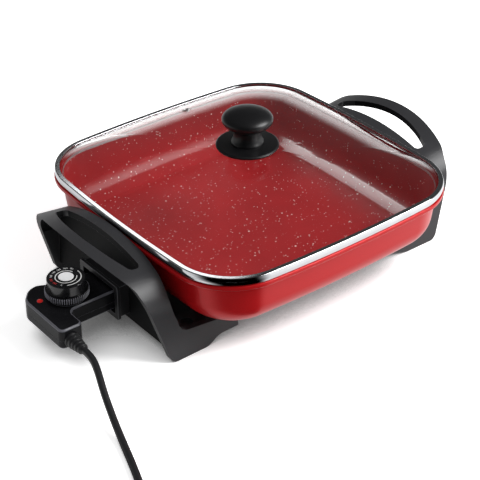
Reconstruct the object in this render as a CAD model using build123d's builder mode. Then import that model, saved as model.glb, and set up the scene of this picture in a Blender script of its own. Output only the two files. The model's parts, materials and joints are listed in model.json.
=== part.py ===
from build123d import *
import os
from math import atan2, ceil, cos, degrees, pi, radians, sin, sqrt, tan

os.makedirs("parts", exist_ok=True)

# Driving sizes in millimetres. Heights are above the worktop. The control is on the -X side. In
# plan, sizes named out or in are from the pan's side or from the piece that carries the feature.

# Outline shared by the pan and the lid: a square with bowed sides and round corners
lid_half = 150.0
corner_radius = 60.0
side_bow_radius = 1500.0

# Pan
rim_height = 86.0
rim_show = 1.0
flange_width = 6.0
flange_thickness = 3.5
flange_edge_radius = 1.2
pan_underside = 32.0
pan_wall = 3.0
wall_draft = 7.0
base_radius = 28.0
lug_radius = 7.0
lug_in = 51.0
lug_y = 62.0

# Lid
seat_gap = 0.2
band_height = 7.8
band_wall = 1.0
band_edge = 0.9
lip_width = 4.5
glass_thickness = 4.0
glass_gap = 0.15
dome_rise = 27.5
dome_power = 3.0
dome_shares = (1.0, 0.93, 0.8, 0.6, 0.4, 0.2)
vent_x = 10.5
vent_share = 0.757
vent_hole_radius = 2.2
vent_rim_radius = 4.6
vent_wall = 0.7
vent_lip = 0.9

# Lid knob
knob_base_radius = 30.0
knob_base_thickness = 3.6
knob_base_edge = 1.6
knob_base_shoulder = 2.6
knob_foot_radius = 15.4
knob_foot_height = 2.4
knob_waist_radius = 12.6
knob_waist_height = 15.5
knob_flare = 1.6
knob_head_radius = 24.0
knob_head_under = 6.3
knob_head_crown = 9.0
oval_share = 0.5523
knob_screw_radius = 2.5
knob_screw_depth = 14.0
knob_screw_head_radius = 4.6
knob_screw_head_height = 2.6
knob_washer_radius = 9.0
knob_washer_thickness = 1.2
knob_gasket_radius = 11.0
knob_gasket_thickness = 1.5

# Handle and leg mouldings, alike on both sides
grip_out = 50.0
grip_rise = 11.0
grip_tilt = 7.0
crown_radius = 210.0
knee_radius = 37.0
foot_half = 97.0
leg_lean = 6.0
shell_thickness = 6.0
leg_knee_in = 17.0
leg_knee_below = 19.0
leg_flare_radius = 20.0
foot_out = 9.0
heel_radius = 9.0
handle_gap = 1.5
leg_waist_out = 3.5
leg_waist_height = 68.0
leg_root_in = 1.5
leg_root_height = 40.0
lip_height = 27.0
lip_end_height = 20.0
lip_radius = 12.0
lip_set = 3.0
foot_wall_in = 65.0
sole_length = 40.0
notch_length = 12.0
notch_height = 7.0
notch_radius = 18.0
beam_bottom = 9.0
beam_top = 15.0
apron_out = 2.5
apron_thickness = 3.0
slot_bar_inner = 12.0
slot_bar_outer = 12.8
slot_end_width = 11.0
slot_half = 60.0
slot_corner = 4.5
ledge_drop = 2.2
ledge_gap = 2.0
ledge_y = 67.0
pocket_in = 19.0
pocket_y = 80.0
pocket_radius = 6.0
pocket_depth = 2.5

# Leg screws, driven up through the beam into the pan's lugs
leg_screw_radius = 2.4
leg_screw_head_radius = 4.6
leg_screw_head_height = 3.0
leg_screw_depth = 10.0
screw_fit = 0.1
screw_end_gap = 1.0

# Heating element under the pan and its terminals
element_diameter = 8.0
element_share = 0.4834
element_corner_share = 0.55
element_exit_radius = 12.0
element_end_in = 45.0
ridge_width = 14.0
ridge_height = 5.0
terminal_half = 11.0
pin_radius = 2.5
pin_out = 14.0
insulator_radius = 5.0
insulator_length = 8.0
snug_gap = 0.05

# Socket guard round the terminals
guard_out = 20.0
guard_half = 28.0
guard_flange = 2.0
guard_flange_thickness = 3.0
guard_top = 46.5
guard_wall = 3.0
guard_upper_depth = 26.0
guard_lower_depth = 53.0
guard_back_height = 29.5
guard_screw_depth = 39.0
guard_screw_y = 20.0
guard_boss_radius = 4.0
guard_boss_height = 9.0
guard_screw_radius = 1.7
guard_screw_head_radius = 3.4
guard_screw_head_height = 2.2

# Plug-in control housing
control_out = 67.0
control_top = 39.0
nose_clearance = 1.0
nose_depth = 25.0
neck_half = 20.0
neck_out = 23.0
arm_front = 43.0
arm_out = 44.0
back_end = 31.0
back_shoulder_out = 46.0
back_corner_out = 55.0
back_corner_y = 17.0
housing_corner = 5.0
back_round = 16.0
neck_corner = 7.0
housing_wall = 2.0
housing_edge = 2.5
collar_radius = 17.0
collar_height = 2.0
post_radius = 3.2
post_spots = ((5.0, 14.0), (5.0, -14.0), (60.0, -31.0), (51.0, 22.0))
housing_screw_radius = 1.4
housing_screw_head_radius = 2.6
housing_screw_head_height = 1.2
housing_screw_depth = 8.0

# Inside the control
block_length = 13.0
inner_gap = 0.3
sleeve_radius = 4.0
sleeve_length = 22.0
contact_gap = 0.25
probe_radius = 3.0
probe_tip_in = 23.0
probe_nose = 2.4
probe_gap = 0.3
boss_length = 20.0
boss_in = 9.0
boss_half = 7.0
boss_below = 6.0
probe_tail_out = 7.0
frame_out = 1.0
frame_length = 50.0
frame_half = 10.0
frame_sheet = 1.6
stack_out = 50.0
stack_length = 7.0
stack_front = 2.0
stack_width = 8.0
stack_height = 2.6
blade_length = 39.0
blade_thickness = 0.8

# Thermostat dial
dial_out = 33.0
shaft_radius = 3.0
bearing_gap = 0.06
bearing_radius = 6.0
bearing_length = 3.5
cam_radius = 7.0
cam_thickness = 2.5
dial_gap = 0.6
skirt_radius = 20.0
skirt_height = 6.0
knurl_count = 60
knurl_radius = 0.62
dial_radius = 17.4
dial_height = 11.0
dial_edge = 0.8
shaft_hold = 9.0
cap_radius = 8.4
cap_recess = 0.6
cap_proud = 0.5
cap_edge = 0.4

# Pilot lamp
lamp_out = 56.6
lamp_y = 7.5
lens_radius = 2.6
lens_rim = 1.0
lens_rim_height = 1.0
lens_proud = 1.1
lens_edge = 1.0
lamp_radius = 1.9
lamp_length = 7.0

# Cord and its strain relief
cord_diameter = 6.5
bend_share = 0.45
relief_out = 57.0
relief_length = 20.0
relief_root_radius = 7.2
relief_tip_radius = 5.0
relief_ribs = 5
relief_rib_share = 0.6
relief_groove = 1.1
relief_neck_radius = 3.8
relief_inner_radius = 5.0
relief_inner_length = 2.0
# The lead's route: distances in plan from the tip of the strain relief, and heights
lead_route = (
    (0.0, -12.0, 27.0),
    (-5.2, -28.5, 25.0),
    (-11.6, -45.5, 18.4),
    (-16.9, -63.0, 11.4),
    (-22.2, -81.0, 6.0),
    (-28.0, -100.0, 3.4),
    (-36.5, -125.0, 3.3),
    (-48.8, -157.5, 3.3),
    (-60.2, -190.0, 4.1),
    (-70.6, -223.4, 4.1),
)

# Coil of the put-away cord, its tie and the tail to the plug
coil_outer = 40.5
coil_pitch = 7.2
coil_layer = 7.2
coil_turns_in = 2.0
coil_turns_climb = 0.5
coil_turns_out = 2.0
tie_thickness = 0.6
tie_width = 6.0
tie_side_gap = 0.5
tie_under_gap = 0.25
tie_angle = 65.0
tail_length = 26.0

# Mains plug
plug_neck_length = 14.0
plug_neck_tip = 4.4
plug_neck_radius = 6.4
plug_corner = 7.0
plug_length = 28.0
plug_width = 36.0
plug_thickness = 19.0
plug_back_edge = 3.0
plug_face_edge = 1.5
plug_pin_radius = 2.0
plug_pin_length = 19.0
plug_pin_root = 8.0
plug_pin_nose = 1.4
plug_pin_half = 9.5
plug_earth_rise = 3.0

# Places worked out from the sizes above
pan_half = lid_half + rim_show
wall_half = pan_half - flange_width
axis_height = pan_underside - ridge_height
handle_inner = pan_half + handle_gap
grip_reach = pan_half + grip_out
grip_top = rim_height + grip_rise
leg_knee_reach = grip_reach - leg_knee_in
leg_knee_height = grip_top - leg_knee_below
leg_waist_reach = handle_inner + leg_waist_out
leg_root_reach = handle_inner - leg_root_in
foot_reach = pan_half + foot_out
sole_inner = foot_reach - sole_length
notch_reach = sole_inner - notch_length
foot_wall_inner = pan_half - foot_wall_in
apron_inner = handle_inner + apron_out
slot_inner = handle_inner + slot_bar_inner
slot_outer = grip_reach - slot_bar_outer
pocket_x = pan_half - pocket_in
lug_x = pan_half - lug_in
ledge_inner = lug_x + lug_radius + ledge_gap
element_half = element_share * pan_half
element_corner = element_corner_share * element_half
element_end = pan_half - element_end_in
boss_outer = element_half - boss_in
boss_inner = boss_outer - boss_length
probe_tip = element_half - probe_tip_in
pin_reach = pan_half + pin_out
guard_mouth = pan_half + guard_out
guard_back_upper = guard_mouth - guard_upper_depth
guard_back_lower = guard_mouth - guard_lower_depth
guard_screw_x = guard_mouth - guard_screw_depth
nose_end = guard_mouth - nose_depth
neck_shoulder = guard_mouth + neck_out
arm_inner = guard_mouth + arm_out
back_shoulder = guard_mouth + back_shoulder_out
back_corner_x = guard_mouth + back_corner_out
control_reach = guard_mouth + control_out
control_bottom = beam_top + guard_wall + nose_clearance
post_places = [(-(guard_mouth + out), aside) for out, aside in post_spots]
probe_tail = guard_mouth + probe_tail_out
frame_inner = guard_mouth + frame_out
frame_outer = frame_inner + frame_length
stack_outer = guard_mouth + stack_out
blade_inner = stack_outer - blade_length
dial_x = guard_mouth + dial_out
lamp_x = guard_mouth + lamp_out
relief_x = guard_mouth + relief_out
pan_x = (control_reach - grip_reach) / 2
pan_middle = Plane((pan_x, 0, 0))
side_plane = Plane((pan_x, 0, 0), x_dir=(1, 0, 0), z_dir=(0, -1, 0))
end_plane = Plane((pan_x, 0, 0), x_dir=(0, 1, 0), z_dir=(1, 0, 0))


def bowed_square(half):
    """Square with bowed sides and round corners, everywhere the same distance inside the lid's outline."""
    inset = lid_half - half
    bow = side_bow_radius - inset
    with BuildSketch(mode=Mode.PRIVATE) as square:
        for turn in range(4):
            with PolarLocations(bow - half, 1, start_angle=90 * turn):
                Circle(bow, mode=Mode.INTERSECT if turn else Mode.ADD)
        fillet(square.vertices(), corner_radius - inset)
    return square.sketch


def level(height):
    """Horizontal plane at a height, with its origin over the middle of the pan."""
    return pan_middle.offset(height)


def across(reach):
    """Upright plane square to X at a distance from the middle of the pan, facing +X."""
    return end_plane.offset(reach)


def finish(piece, name):
    """Name a finished piece and write it."""
    piece.part.label = name
    export_step(piece.part, f"parts/{name}.step")


# Pan: a drafted bowl with a flat rim, lugs for the legs, a ridge for the element and a probe socket
element_line = (
    (-element_end, terminal_half),
    (-element_half, terminal_half),
    (-element_half, element_half),
    (element_half, element_half),
    (element_half, -element_half),
    (-element_half, -element_half),
    (-element_half, -terminal_half),
    (-element_end, -terminal_half),
)
element_bends = [element_exit_radius] + [element_corner] * 4 + [element_exit_radius]

with BuildPart() as pan_hollow:
    with BuildSketch(level(rim_height)):
        add(bowed_square(wall_half - pan_wall / cos(radians(wall_draft))))
    extrude(amount=-(rim_height - pan_underside - pan_wall), taper=wall_draft)
    fillet(pan_hollow.faces().sort_by(Axis.Z)[0].edges(), base_radius - pan_wall)

with BuildPart() as pan:
    with BuildSketch(level(rim_height)):
        add(bowed_square(wall_half))
    extrude(amount=-(rim_height - pan_underside), taper=wall_draft)
    fillet(pan.faces().sort_by(Axis.Z)[0].edges(), base_radius)
    add(pan_hollow.part, mode=Mode.SUBTRACT)
    with BuildSketch(level(rim_height)):
        add(bowed_square(pan_half))
        add(bowed_square(wall_half - pan_wall / 2), mode=Mode.SUBTRACT)
    extrude(amount=-flange_thickness)
    rim_edges = pan.faces().sort_by(Axis.Z)[-1].outer_wire().edges()
    fillet(rim_edges, flange_edge_radius)
    with BuildSketch(level(pan_underside)):
        with BuildLine():
            FilletPolyline(*element_line, radius=element_bends)
        trace(line_width=ridge_width)
    extrude(amount=-ridge_height)
    with BuildSketch(level(beam_top)):
        with GridLocations(2 * lug_x, 2 * lug_y, 2, 2):
            Circle(lug_radius)
    extrude(amount=pan_underside - beam_top)
    with BuildSketch(level(pan_underside)):
        with Locations((-(boss_inner + boss_outer) / 2, 0)):
            Rectangle(boss_outer - boss_inner, 2 * boss_half)
    extrude(amount=-(pan_underside - axis_height + boss_below))
    with BuildLine(level(axis_height)) as groove:
        FilletPolyline(*element_line, radius=element_bends)
    with BuildSketch(Plane(groove.line @ 0, z_dir=groove.line % 0)):
        Circle(element_diameter / 2 + snug_gap)
    sweep(path=groove.line, mode=Mode.SUBTRACT)
    with BuildSketch(level(beam_top)):
        with GridLocations(2 * lug_x, 2 * lug_y, 2, 2):
            Circle(leg_screw_radius + screw_fit)
    extrude(amount=leg_screw_depth + screw_fit, mode=Mode.SUBTRACT)
    with BuildSketch(across(-boss_outer)):
        with Locations((0, axis_height)):
            Circle(probe_radius + probe_gap)
    extrude(amount=boss_outer - probe_tip + nose_clearance, mode=Mode.SUBTRACT)
finish(pan, "pan")

# Heating element: one bent tube, half sunk in the ridge, with a ceramic bush and a pin on each end
with BuildPart() as heating_element:
    with BuildLine(level(axis_height)) as element_path:
        FilletPolyline(*element_line, radius=element_bends)
    with BuildSketch(Plane(element_path.line @ 0, z_dir=element_path.line % 0)):
        Circle(element_diameter / 2)
    sweep(path=element_path.line)
finish(heating_element, "heating_element")

with BuildPart() as terminal_bushes:
    with BuildSketch(across(-element_end)):
        with Locations((terminal_half, axis_height), (-terminal_half, axis_height)):
            Circle(insulator_radius)
            Circle(pin_radius + snug_gap, mode=Mode.SUBTRACT)
    extrude(amount=-insulator_length)
finish(terminal_bushes, "terminal_bushes")

with BuildPart() as terminal_pins:
    with BuildSketch(across(-element_end)):
        with Locations((terminal_half, axis_height), (-terminal_half, axis_height)):
            Circle(pin_radius)
    extrude(amount=-(pin_reach - element_end))
    pin_tips = terminal_pins.faces().sort_by(Axis.X)[:2]
    chamfer(pin_tips.edges(), pin_radius / 3)
finish(terminal_pins, "terminal_pins")


# Handle and leg moulding: an arch seen along X, cut to its side outline seen along Y
arch_below = 3 * shell_thickness
arch_length = (grip_reach - foot_wall_inner + shell_thickness) / cos(radians(grip_tilt))
arch_way = (-cos(radians(grip_tilt)), 0, -sin(radians(grip_tilt)))


def arch(inset):
    """Arch of a shallow crown on two leaning legs, which run on below the worktop."""
    lean = tan(radians(leg_lean))
    low = foot_half + arch_below * lean
    high = foot_half - grip_top * lean
    with BuildSketch(mode=Mode.PRIVATE) as outline:
        with BuildLine():
            Polyline((-low, -arch_below), (low, -arch_below), (high, grip_top), (-high, grip_top), close=True)
        make_face()
        with Locations((0, grip_top - crown_radius)):
            Circle(crown_radius, mode=Mode.INTERSECT)
        fillet(outline.vertices().group_by(Axis.Y)[-1], knee_radius)
        if inset:
            offset(amount=-inset, kind=Kind.INTERSECTION, mode=Mode.REPLACE)
    return outline.sketch


def ledge_top(reach):
    """Height of the ledge in the corner of a foot, which lies below the foot's sloping lip."""
    slope = (lip_height - lip_end_height) / (leg_root_reach - lip_set - foot_wall_inner)
    return lip_end_height + slope * (reach - foot_wall_inner) - ledge_drop


with BuildSketch(side_plane) as leg_side:
    over = grip_top + shell_thickness
    flare = (grip_reach - leg_knee_reach) / (grip_top - leg_knee_height)
    with BuildLine():
        Polyline(
            (leg_root_reach, leg_root_height),
            (leg_root_reach - lip_set, lip_height),
            (foot_wall_inner, lip_end_height),
            (foot_wall_inner, notch_height),
            (notch_reach, notch_height),
            (sole_inner, 0),
            (foot_reach, 0),
            (leg_knee_reach, leg_knee_height),
            (leg_knee_reach + flare * (over - leg_knee_height), over),
            (handle_inner, over),
            (handle_inner, rim_height),
        )
        ThreePointArc(
            (handle_inner, rim_height),
            (leg_waist_reach, leg_waist_height),
            (leg_root_reach, leg_root_height),
        )
    make_face()
    for corner, radius in (
        ((foot_reach, 0), heel_radius),
        ((leg_knee_reach, leg_knee_height), leg_flare_radius),
        ((leg_root_reach - lip_set, lip_height), lip_radius),
        ((notch_reach, notch_height), notch_radius),
        ((sole_inner, 0), notch_radius),
    ):
        fillet(leg_side.vertices().sort_by_distance(corner)[0], radius)

with BuildPart() as under_arch:
    with BuildSketch(across(grip_reach)):
        add(arch(shell_thickness))
    extrude(amount=arch_length, dir=arch_way)
    with BuildSketch(level(beam_bottom)):
        with Locations(((foot_wall_inner + apron_inner) / 2, 0)):
            Rectangle(apron_inner - foot_wall_inner, 2 * foot_half)
    extrude(amount=beam_top - beam_bottom, mode=Mode.SUBTRACT)
    with BuildSketch(level(beam_bottom)):
        with Locations((apron_inner + apron_thickness / 2, 0)):
            Rectangle(apron_thickness, 2 * foot_half)
    extrude(amount=grip_top, mode=Mode.SUBTRACT)
    with BuildSketch(side_plane.offset(ledge_y), side_plane.offset(-foot_half)):
        with BuildLine():
            Polyline(
                (ledge_inner, beam_bottom),
                (ledge_inner, ledge_top(ledge_inner)),
                (apron_inner, ledge_top(apron_inner)),
                (apron_inner, beam_bottom),
                close=True,
            )
        make_face()
    extrude(amount=foot_half - ledge_y, mode=Mode.SUBTRACT)

with BuildPart() as right_handle:
    with BuildSketch(across(grip_reach)):
        add(arch(0))
    extrude(amount=arch_length, dir=arch_way)
    extrude(leg_side.sketch, amount=2 * foot_half, both=True, mode=Mode.INTERSECT)
    add(under_arch.part, mode=Mode.SUBTRACT)
    with BuildSketch(level(over)) as slot:
        with BuildLine():
            slot_end = slot_inner + slot_end_width
            Polyline(
                (slot_end, -slot_half),
                (slot_inner, -slot_half),
                (slot_inner, slot_half),
                (slot_end, slot_half),
            )
            ThreePointArc((slot_end, slot_half), (slot_outer, 0), (slot_end, -slot_half))
        make_face()
        fillet(slot.vertices(), slot_corner)
    extrude(amount=-(over - beam_top), mode=Mode.SUBTRACT)
    with BuildSketch(level(ledge_top(pocket_x) - pocket_depth)):
        with Locations((pocket_x, pocket_y), (pocket_x, -pocket_y)):
            Circle(pocket_radius)
    extrude(amount=ledge_drop + pocket_depth, mode=Mode.SUBTRACT)
    with BuildSketch(level(beam_bottom)):
        with Locations((lug_x, lug_y), (lug_x, -lug_y)):
            Circle(leg_screw_radius + screw_fit)
    extrude(amount=beam_top - beam_bottom, mode=Mode.SUBTRACT)
    with BuildSketch(level(beam_bottom)):
        with Locations((lug_x, lug_y), (lug_x, -lug_y)):
            Circle(leg_screw_head_radius + screw_fit)
    extrude(amount=leg_screw_head_height, mode=Mode.SUBTRACT)
finish(right_handle, "right_handle")

# The left moulding is the right one turned over, with its apron cut away round the socket guard
with BuildPart() as left_handle:
    mirror(right_handle.part, about=end_plane)
    with BuildSketch(across(-apron_inner)):
        with Locations((0, (beam_top + guard_top + inner_gap) / 2)):
            Rectangle(2 * (guard_half + inner_gap), guard_top + inner_gap - beam_top)
    extrude(amount=-apron_thickness, mode=Mode.SUBTRACT)
    with BuildSketch(level(beam_bottom)):
        with Locations((-guard_screw_x, guard_screw_y), (-guard_screw_x, -guard_screw_y)):
            Circle(guard_screw_radius + screw_fit)
    extrude(amount=beam_top - beam_bottom, mode=Mode.SUBTRACT)
    with BuildSketch(level(beam_bottom)):
        with Locations((-guard_screw_x, guard_screw_y), (-guard_screw_x, -guard_screw_y)):
            Circle(guard_screw_head_radius + screw_fit)
    extrude(amount=guard_screw_head_height, mode=Mode.SUBTRACT)
finish(left_handle, "left_handle")

with BuildPart() as leg_screws:
    with BuildSketch(level(beam_bottom)):
        with GridLocations(2 * lug_x, 2 * lug_y, 2, 2):
            Circle(leg_screw_head_radius)
    extrude(amount=leg_screw_head_height)
    with BuildSketch(level(beam_bottom + leg_screw_head_height)):
        with GridLocations(2 * lug_x, 2 * lug_y, 2, 2):
            Circle(leg_screw_radius)
    extrude(amount=beam_top - beam_bottom - leg_screw_head_height + leg_screw_depth)
finish(leg_screws, "leg_screws")

# Socket guard: a flanged box round the terminals that opens towards -X, with an open channel behind
guard_middle = (beam_top + guard_top) / 2
with BuildPart() as socket_guard:
    with BuildSketch(across(-guard_mouth)):
        with Locations((0, guard_middle)):
            Rectangle(2 * guard_half, guard_top - beam_top)
    extrude(amount=guard_mouth - guard_back_upper)
    with BuildSketch(across(-guard_mouth)):
        with Locations((0, guard_middle)):
            RectangleRounded(
                2 * (guard_half + guard_flange), guard_top - beam_top + 2 * guard_flange, guard_flange
            )
    extrude(amount=guard_flange_thickness)
    with BuildSketch(across(-guard_back_upper)):
        with Locations((0, (beam_top + guard_back_height) / 2)):
            Rectangle(2 * guard_half, guard_back_height - beam_top)
    extrude(amount=guard_back_upper - guard_back_lower)
    with BuildSketch(across(-guard_mouth)):
        with Locations((0, guard_middle)):
            Rectangle(2 * (guard_half - guard_wall), guard_top - beam_top - 2 * guard_wall)
    extrude(amount=guard_mouth - guard_back_lower, mode=Mode.SUBTRACT)
    with BuildSketch(level(beam_top)):
        with Locations((-guard_screw_x, guard_screw_y), (-guard_screw_x, -guard_screw_y)):
            Circle(guard_boss_radius)
    extrude(amount=guard_boss_height)
    with BuildSketch(level(beam_top)):
        with Locations((-guard_screw_x, guard_screw_y), (-guard_screw_x, -guard_screw_y)):
            Circle(guard_screw_radius + screw_fit)
    extrude(amount=guard_boss_height - guard_wall / 2, mode=Mode.SUBTRACT)
finish(socket_guard, "socket_guard")

with BuildPart() as guard_screws:
    with BuildSketch(level(beam_bottom)):
        with Locations((-guard_screw_x, guard_screw_y), (-guard_screw_x, -guard_screw_y)):
            Circle(guard_screw_head_radius)
    extrude(amount=guard_screw_head_height)
    with BuildSketch(level(beam_bottom + guard_screw_head_height)):
        with Locations((-guard_screw_x, guard_screw_y), (-guard_screw_x, -guard_screw_y)):
            Circle(guard_screw_radius)
    extrude(amount=beam_top - beam_bottom - guard_screw_head_height + guard_boss_height - guard_wall)
finish(guard_screws, "guard_screws")

# Lid: a domed glass held in a steel band, which stands on the pan's rim
band_bottom = rim_height + seat_gap
band_top = band_bottom + band_height
glass_edge_top = band_top - band_wall - glass_gap
glass_edge_half = lid_half - band_wall - glass_gap
dome_half = lid_half - lip_width - glass_gap


def dome_lift(share):
    """Height of the glass above its edge, at a share of the way from the middle to the edge of the dome."""
    return dome_rise * (1 - share**dome_power)


def dome_solid(base):
    """Solid under a dome whose sections are the lid's outline made smaller."""
    with BuildPart(mode=Mode.PRIVATE) as dome:
        for share in dome_shares:
            with BuildSketch(level(base + dome_lift(share))):
                add(scale(bowed_square(dome_half), by=share, mode=Mode.PRIVATE))
        loft()
    return dome.part


glass_top = glass_edge_top + dome_lift(dome_shares[-1])
glass_under = glass_top - glass_thickness
vent_y = vent_share * dome_half
vent_slope = dome_rise * dome_power * vent_share ** (dome_power - 1) / dome_half
vent_height = glass_edge_top + dome_lift(vent_share)
vent_plane = Plane((pan_x + vent_x, vent_y, vent_height), x_dir=(1, 0, 0), z_dir=(0, vent_slope, 1))
vent_side = Plane(vent_plane.origin, x_dir=(1, 0, 0), z_dir=-vent_plane.y_dir)

dome_outside = dome_solid(glass_edge_top)
dome_inside = dome_solid(glass_edge_top - glass_thickness)
with BuildPart() as lid_glass:
    with BuildSketch(level(glass_edge_top)):
        add(bowed_square(glass_edge_half))
    extrude(amount=-glass_thickness)
    add(dome_outside)
    add(dome_inside, mode=Mode.SUBTRACT)
    with BuildSketch(level(glass_under)):
        Circle(knob_screw_radius + inner_gap)
    extrude(amount=2 * glass_thickness, both=True, mode=Mode.SUBTRACT)
    with BuildSketch(vent_plane):
        Circle(vent_hole_radius + vent_wall + snug_gap)
    extrude(amount=2 * glass_thickness, both=True, mode=Mode.SUBTRACT)
finish(lid_glass, "lid_glass")

with BuildPart() as lid_rim:
    with BuildSketch(level(band_bottom)):
        add(bowed_square(lid_half))
        add(bowed_square(lid_half - band_wall), mode=Mode.SUBTRACT)
    extrude(amount=band_height)
    for lip_bottom in (band_top - band_wall, glass_edge_top - glass_thickness - glass_gap - band_wall):
        with BuildSketch(level(lip_bottom)):
            add(bowed_square(lid_half - band_wall / 2))
            add(bowed_square(lid_half - lip_width), mode=Mode.SUBTRACT)
        extrude(amount=band_wall)
    outer_top = lid_rim.faces().sort_by(Axis.Z)[-1].outer_wire().edges()
    fillet(outer_top, band_edge)
finish(lid_rim, "lid_rim")

with BuildPart() as vent_eyelet:
    with BuildSketch(vent_side):
        with BuildLine():
            Polyline(
                (vent_hole_radius, -glass_thickness - vent_lip),
                (vent_hole_radius, vent_lip),
                (vent_rim_radius, vent_lip / 2),
                (vent_rim_radius, snug_gap),
                (vent_hole_radius + vent_wall, snug_gap),
                (vent_hole_radius + vent_wall, -glass_thickness - vent_lip),
                close=True,
            )
        make_face()
    revolve(axis=Axis(vent_plane.origin, vent_plane.z_dir))
finish(vent_eyelet, "vent_eyelet")

# Knob: a base disc on the glass and a waisted head, drawn down by one screw from below
knob_base_bottom = glass_top + snug_gap
knob_foot = knob_base_bottom + knob_base_thickness
knob_waist = knob_foot + knob_foot_height
knob_under = knob_waist + knob_waist_height
knob_wide = knob_under + knob_head_under
knob_peak = knob_wide + knob_head_crown

with BuildPart() as knob_base:
    with BuildSketch(side_plane):
        with BuildLine():
            Polyline(
                (knob_screw_radius + inner_gap, knob_base_bottom),
                (knob_base_radius - knob_base_edge, knob_base_bottom),
                (knob_base_radius, knob_base_bottom + knob_base_edge),
                (knob_base_radius - knob_base_edge, knob_base_bottom + knob_base_shoulder),
                (knob_foot_radius, knob_foot),
                (knob_screw_radius + inner_gap, knob_foot),
                close=True,
            )
        make_face()
    revolve(axis=Axis((pan_x, 0, 0), (0, 0, 1)))
finish(knob_base, "knob_base")

with BuildPart() as lid_knob:
    with BuildSketch(side_plane):
        with BuildLine():
            foot = Polyline(
                (0, knob_peak),
                (0, knob_foot),
                (knob_foot_radius, knob_foot),
                (knob_foot_radius, knob_foot + knob_foot_height / 2),
            )
            neck = ThreePointArc(
                foot @ 1,
                (knob_waist_radius, (knob_foot + knob_under) / 2),
                (knob_waist_radius + knob_flare, knob_under),
            )
            under = Line(neck @ 1, (knob_head_radius - knob_head_under, knob_under))
            TangentArc(under @ 1, (knob_head_radius, knob_wide), tangent=under % 1)
            Bezier(
                (knob_head_radius, knob_wide),
                (knob_head_radius, knob_wide + oval_share * knob_head_crown),
                (oval_share * knob_head_radius, knob_peak),
                (0, knob_peak),
            )
        make_face()
    revolve(axis=Axis((pan_x, 0, 0), (0, 0, 1)))
    with BuildSketch(level(knob_foot)):
        Circle(knob_screw_radius + screw_fit)
    extrude(amount=knob_screw_depth, mode=Mode.SUBTRACT)
finish(lid_knob, "lid_knob")

gasket_bottom = glass_under - knob_gasket_thickness
washer_bottom = gasket_bottom - knob_washer_thickness
screw_bottom = washer_bottom - knob_screw_head_height
for ring_name, ring_bottom, ring_thickness, ring_radius in (
    ("knob_gasket", gasket_bottom, knob_gasket_thickness, knob_gasket_radius),
    ("knob_washer", washer_bottom, knob_washer_thickness, knob_washer_radius),
):
    with BuildPart() as ring:
        with BuildSketch(level(ring_bottom)):
            Circle(ring_radius)
            Circle(knob_screw_radius + screw_fit, mode=Mode.SUBTRACT)
        extrude(amount=ring_thickness)
    finish(ring, ring_name)

with BuildPart() as knob_screw:
    with BuildSketch(level(screw_bottom)):
        Circle(knob_screw_head_radius)
    extrude(amount=knob_screw_head_height)
    fillet(knob_screw.faces().sort_by(Axis.Z)[0].edges(), knob_screw_head_height / 2)
    with BuildSketch(level(washer_bottom)):
        Circle(knob_screw_radius)
    extrude(amount=knob_foot + knob_screw_depth - screw_end_gap - washer_bottom)
finish(knob_screw, "knob_screw")

# Control housing: a neck that plugs into the guard and a cross body with the cord at one end
with BuildSketch() as control_outline:
    with BuildLine():
        Polyline(
            (-nose_end, neck_half),
            (-neck_shoulder, neck_half),
            (-back_shoulder, back_end),
            (-back_corner_x, back_end),
            (-control_reach, back_corner_y),
            (-control_reach, -arm_front),
            (-arm_inner, -arm_front),
            (-arm_inner, -neck_half),
            (-nose_end, -neck_half),
            close=True,
        )
    make_face()
    for corner, radius in (
        ((-neck_shoulder, neck_half), housing_corner),
        ((-back_shoulder, back_end), housing_corner),
        ((-back_corner_x, back_end), back_round),
        ((-control_reach, back_corner_y), back_round),
        ((-control_reach, -arm_front), housing_corner),
        ((-arm_inner, -arm_front), housing_corner),
        ((-arm_inner, -neck_half), neck_corner),
    ):
        fillet(control_outline.vertices().sort_by_distance(corner)[0], radius)

with BuildSketch() as control_cavity:
    add(control_outline.sketch)
    offset(amount=-housing_wall, mode=Mode.REPLACE)
    with Locations((-nose_end - housing_corner / 2, 0)):
        Rectangle(housing_corner, 2 * (neck_half - housing_wall))

control_floor = control_bottom + housing_wall
control_ceiling = control_top - housing_wall
relief_plane = Plane((pan_x - relief_x, -arm_front, axis_height), x_dir=(1, 0, 0), z_dir=(0, -1, 0))

with BuildPart() as housing_top:
    with BuildSketch(level(axis_height)):
        add(control_outline.sketch)
    extrude(amount=control_top - axis_height)
    top_edges = housing_top.faces().sort_by(Axis.Z)[-1].edges().sort_by(Axis.X)
    fillet(top_edges[:-1], housing_edge)
    with BuildSketch(level(control_top)):
        with Locations((-dial_x, 0)):
            Circle(collar_radius)
    extrude(amount=collar_height)
    with BuildSketch(level(axis_height)):
        add(control_cavity.sketch)
    extrude(amount=control_ceiling - axis_height, mode=Mode.SUBTRACT)
    with BuildSketch(level(control_ceiling)):
        with Locations((-dial_x, 0)):
            Circle(bearing_radius)
    extrude(amount=-bearing_length)
    with BuildSketch(level(control_floor)):
        with Locations(*post_places):
            Circle(post_radius)
    extrude(amount=control_ceiling - control_floor)
    with BuildSketch(level(control_floor)):
        with Locations(*post_places):
            Circle(housing_screw_radius + screw_fit)
    extrude(amount=housing_screw_depth, mode=Mode.SUBTRACT)
    with BuildSketch(level(control_top + collar_height)):
        with Locations((-dial_x, 0)):
            Circle(shaft_radius + bearing_gap)
    extrude(amount=-(collar_height + housing_wall + bearing_length), mode=Mode.SUBTRACT)
    with BuildSketch(level(control_top)):
        with Locations((-lamp_x, lamp_y)):
            Circle(lens_radius + snug_gap)
    extrude(amount=-housing_wall, mode=Mode.SUBTRACT)
    with BuildSketch(relief_plane):
        Circle(relief_neck_radius + snug_gap)
    extrude(amount=-housing_wall, mode=Mode.SUBTRACT)
finish(housing_top, "housing_top")

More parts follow.
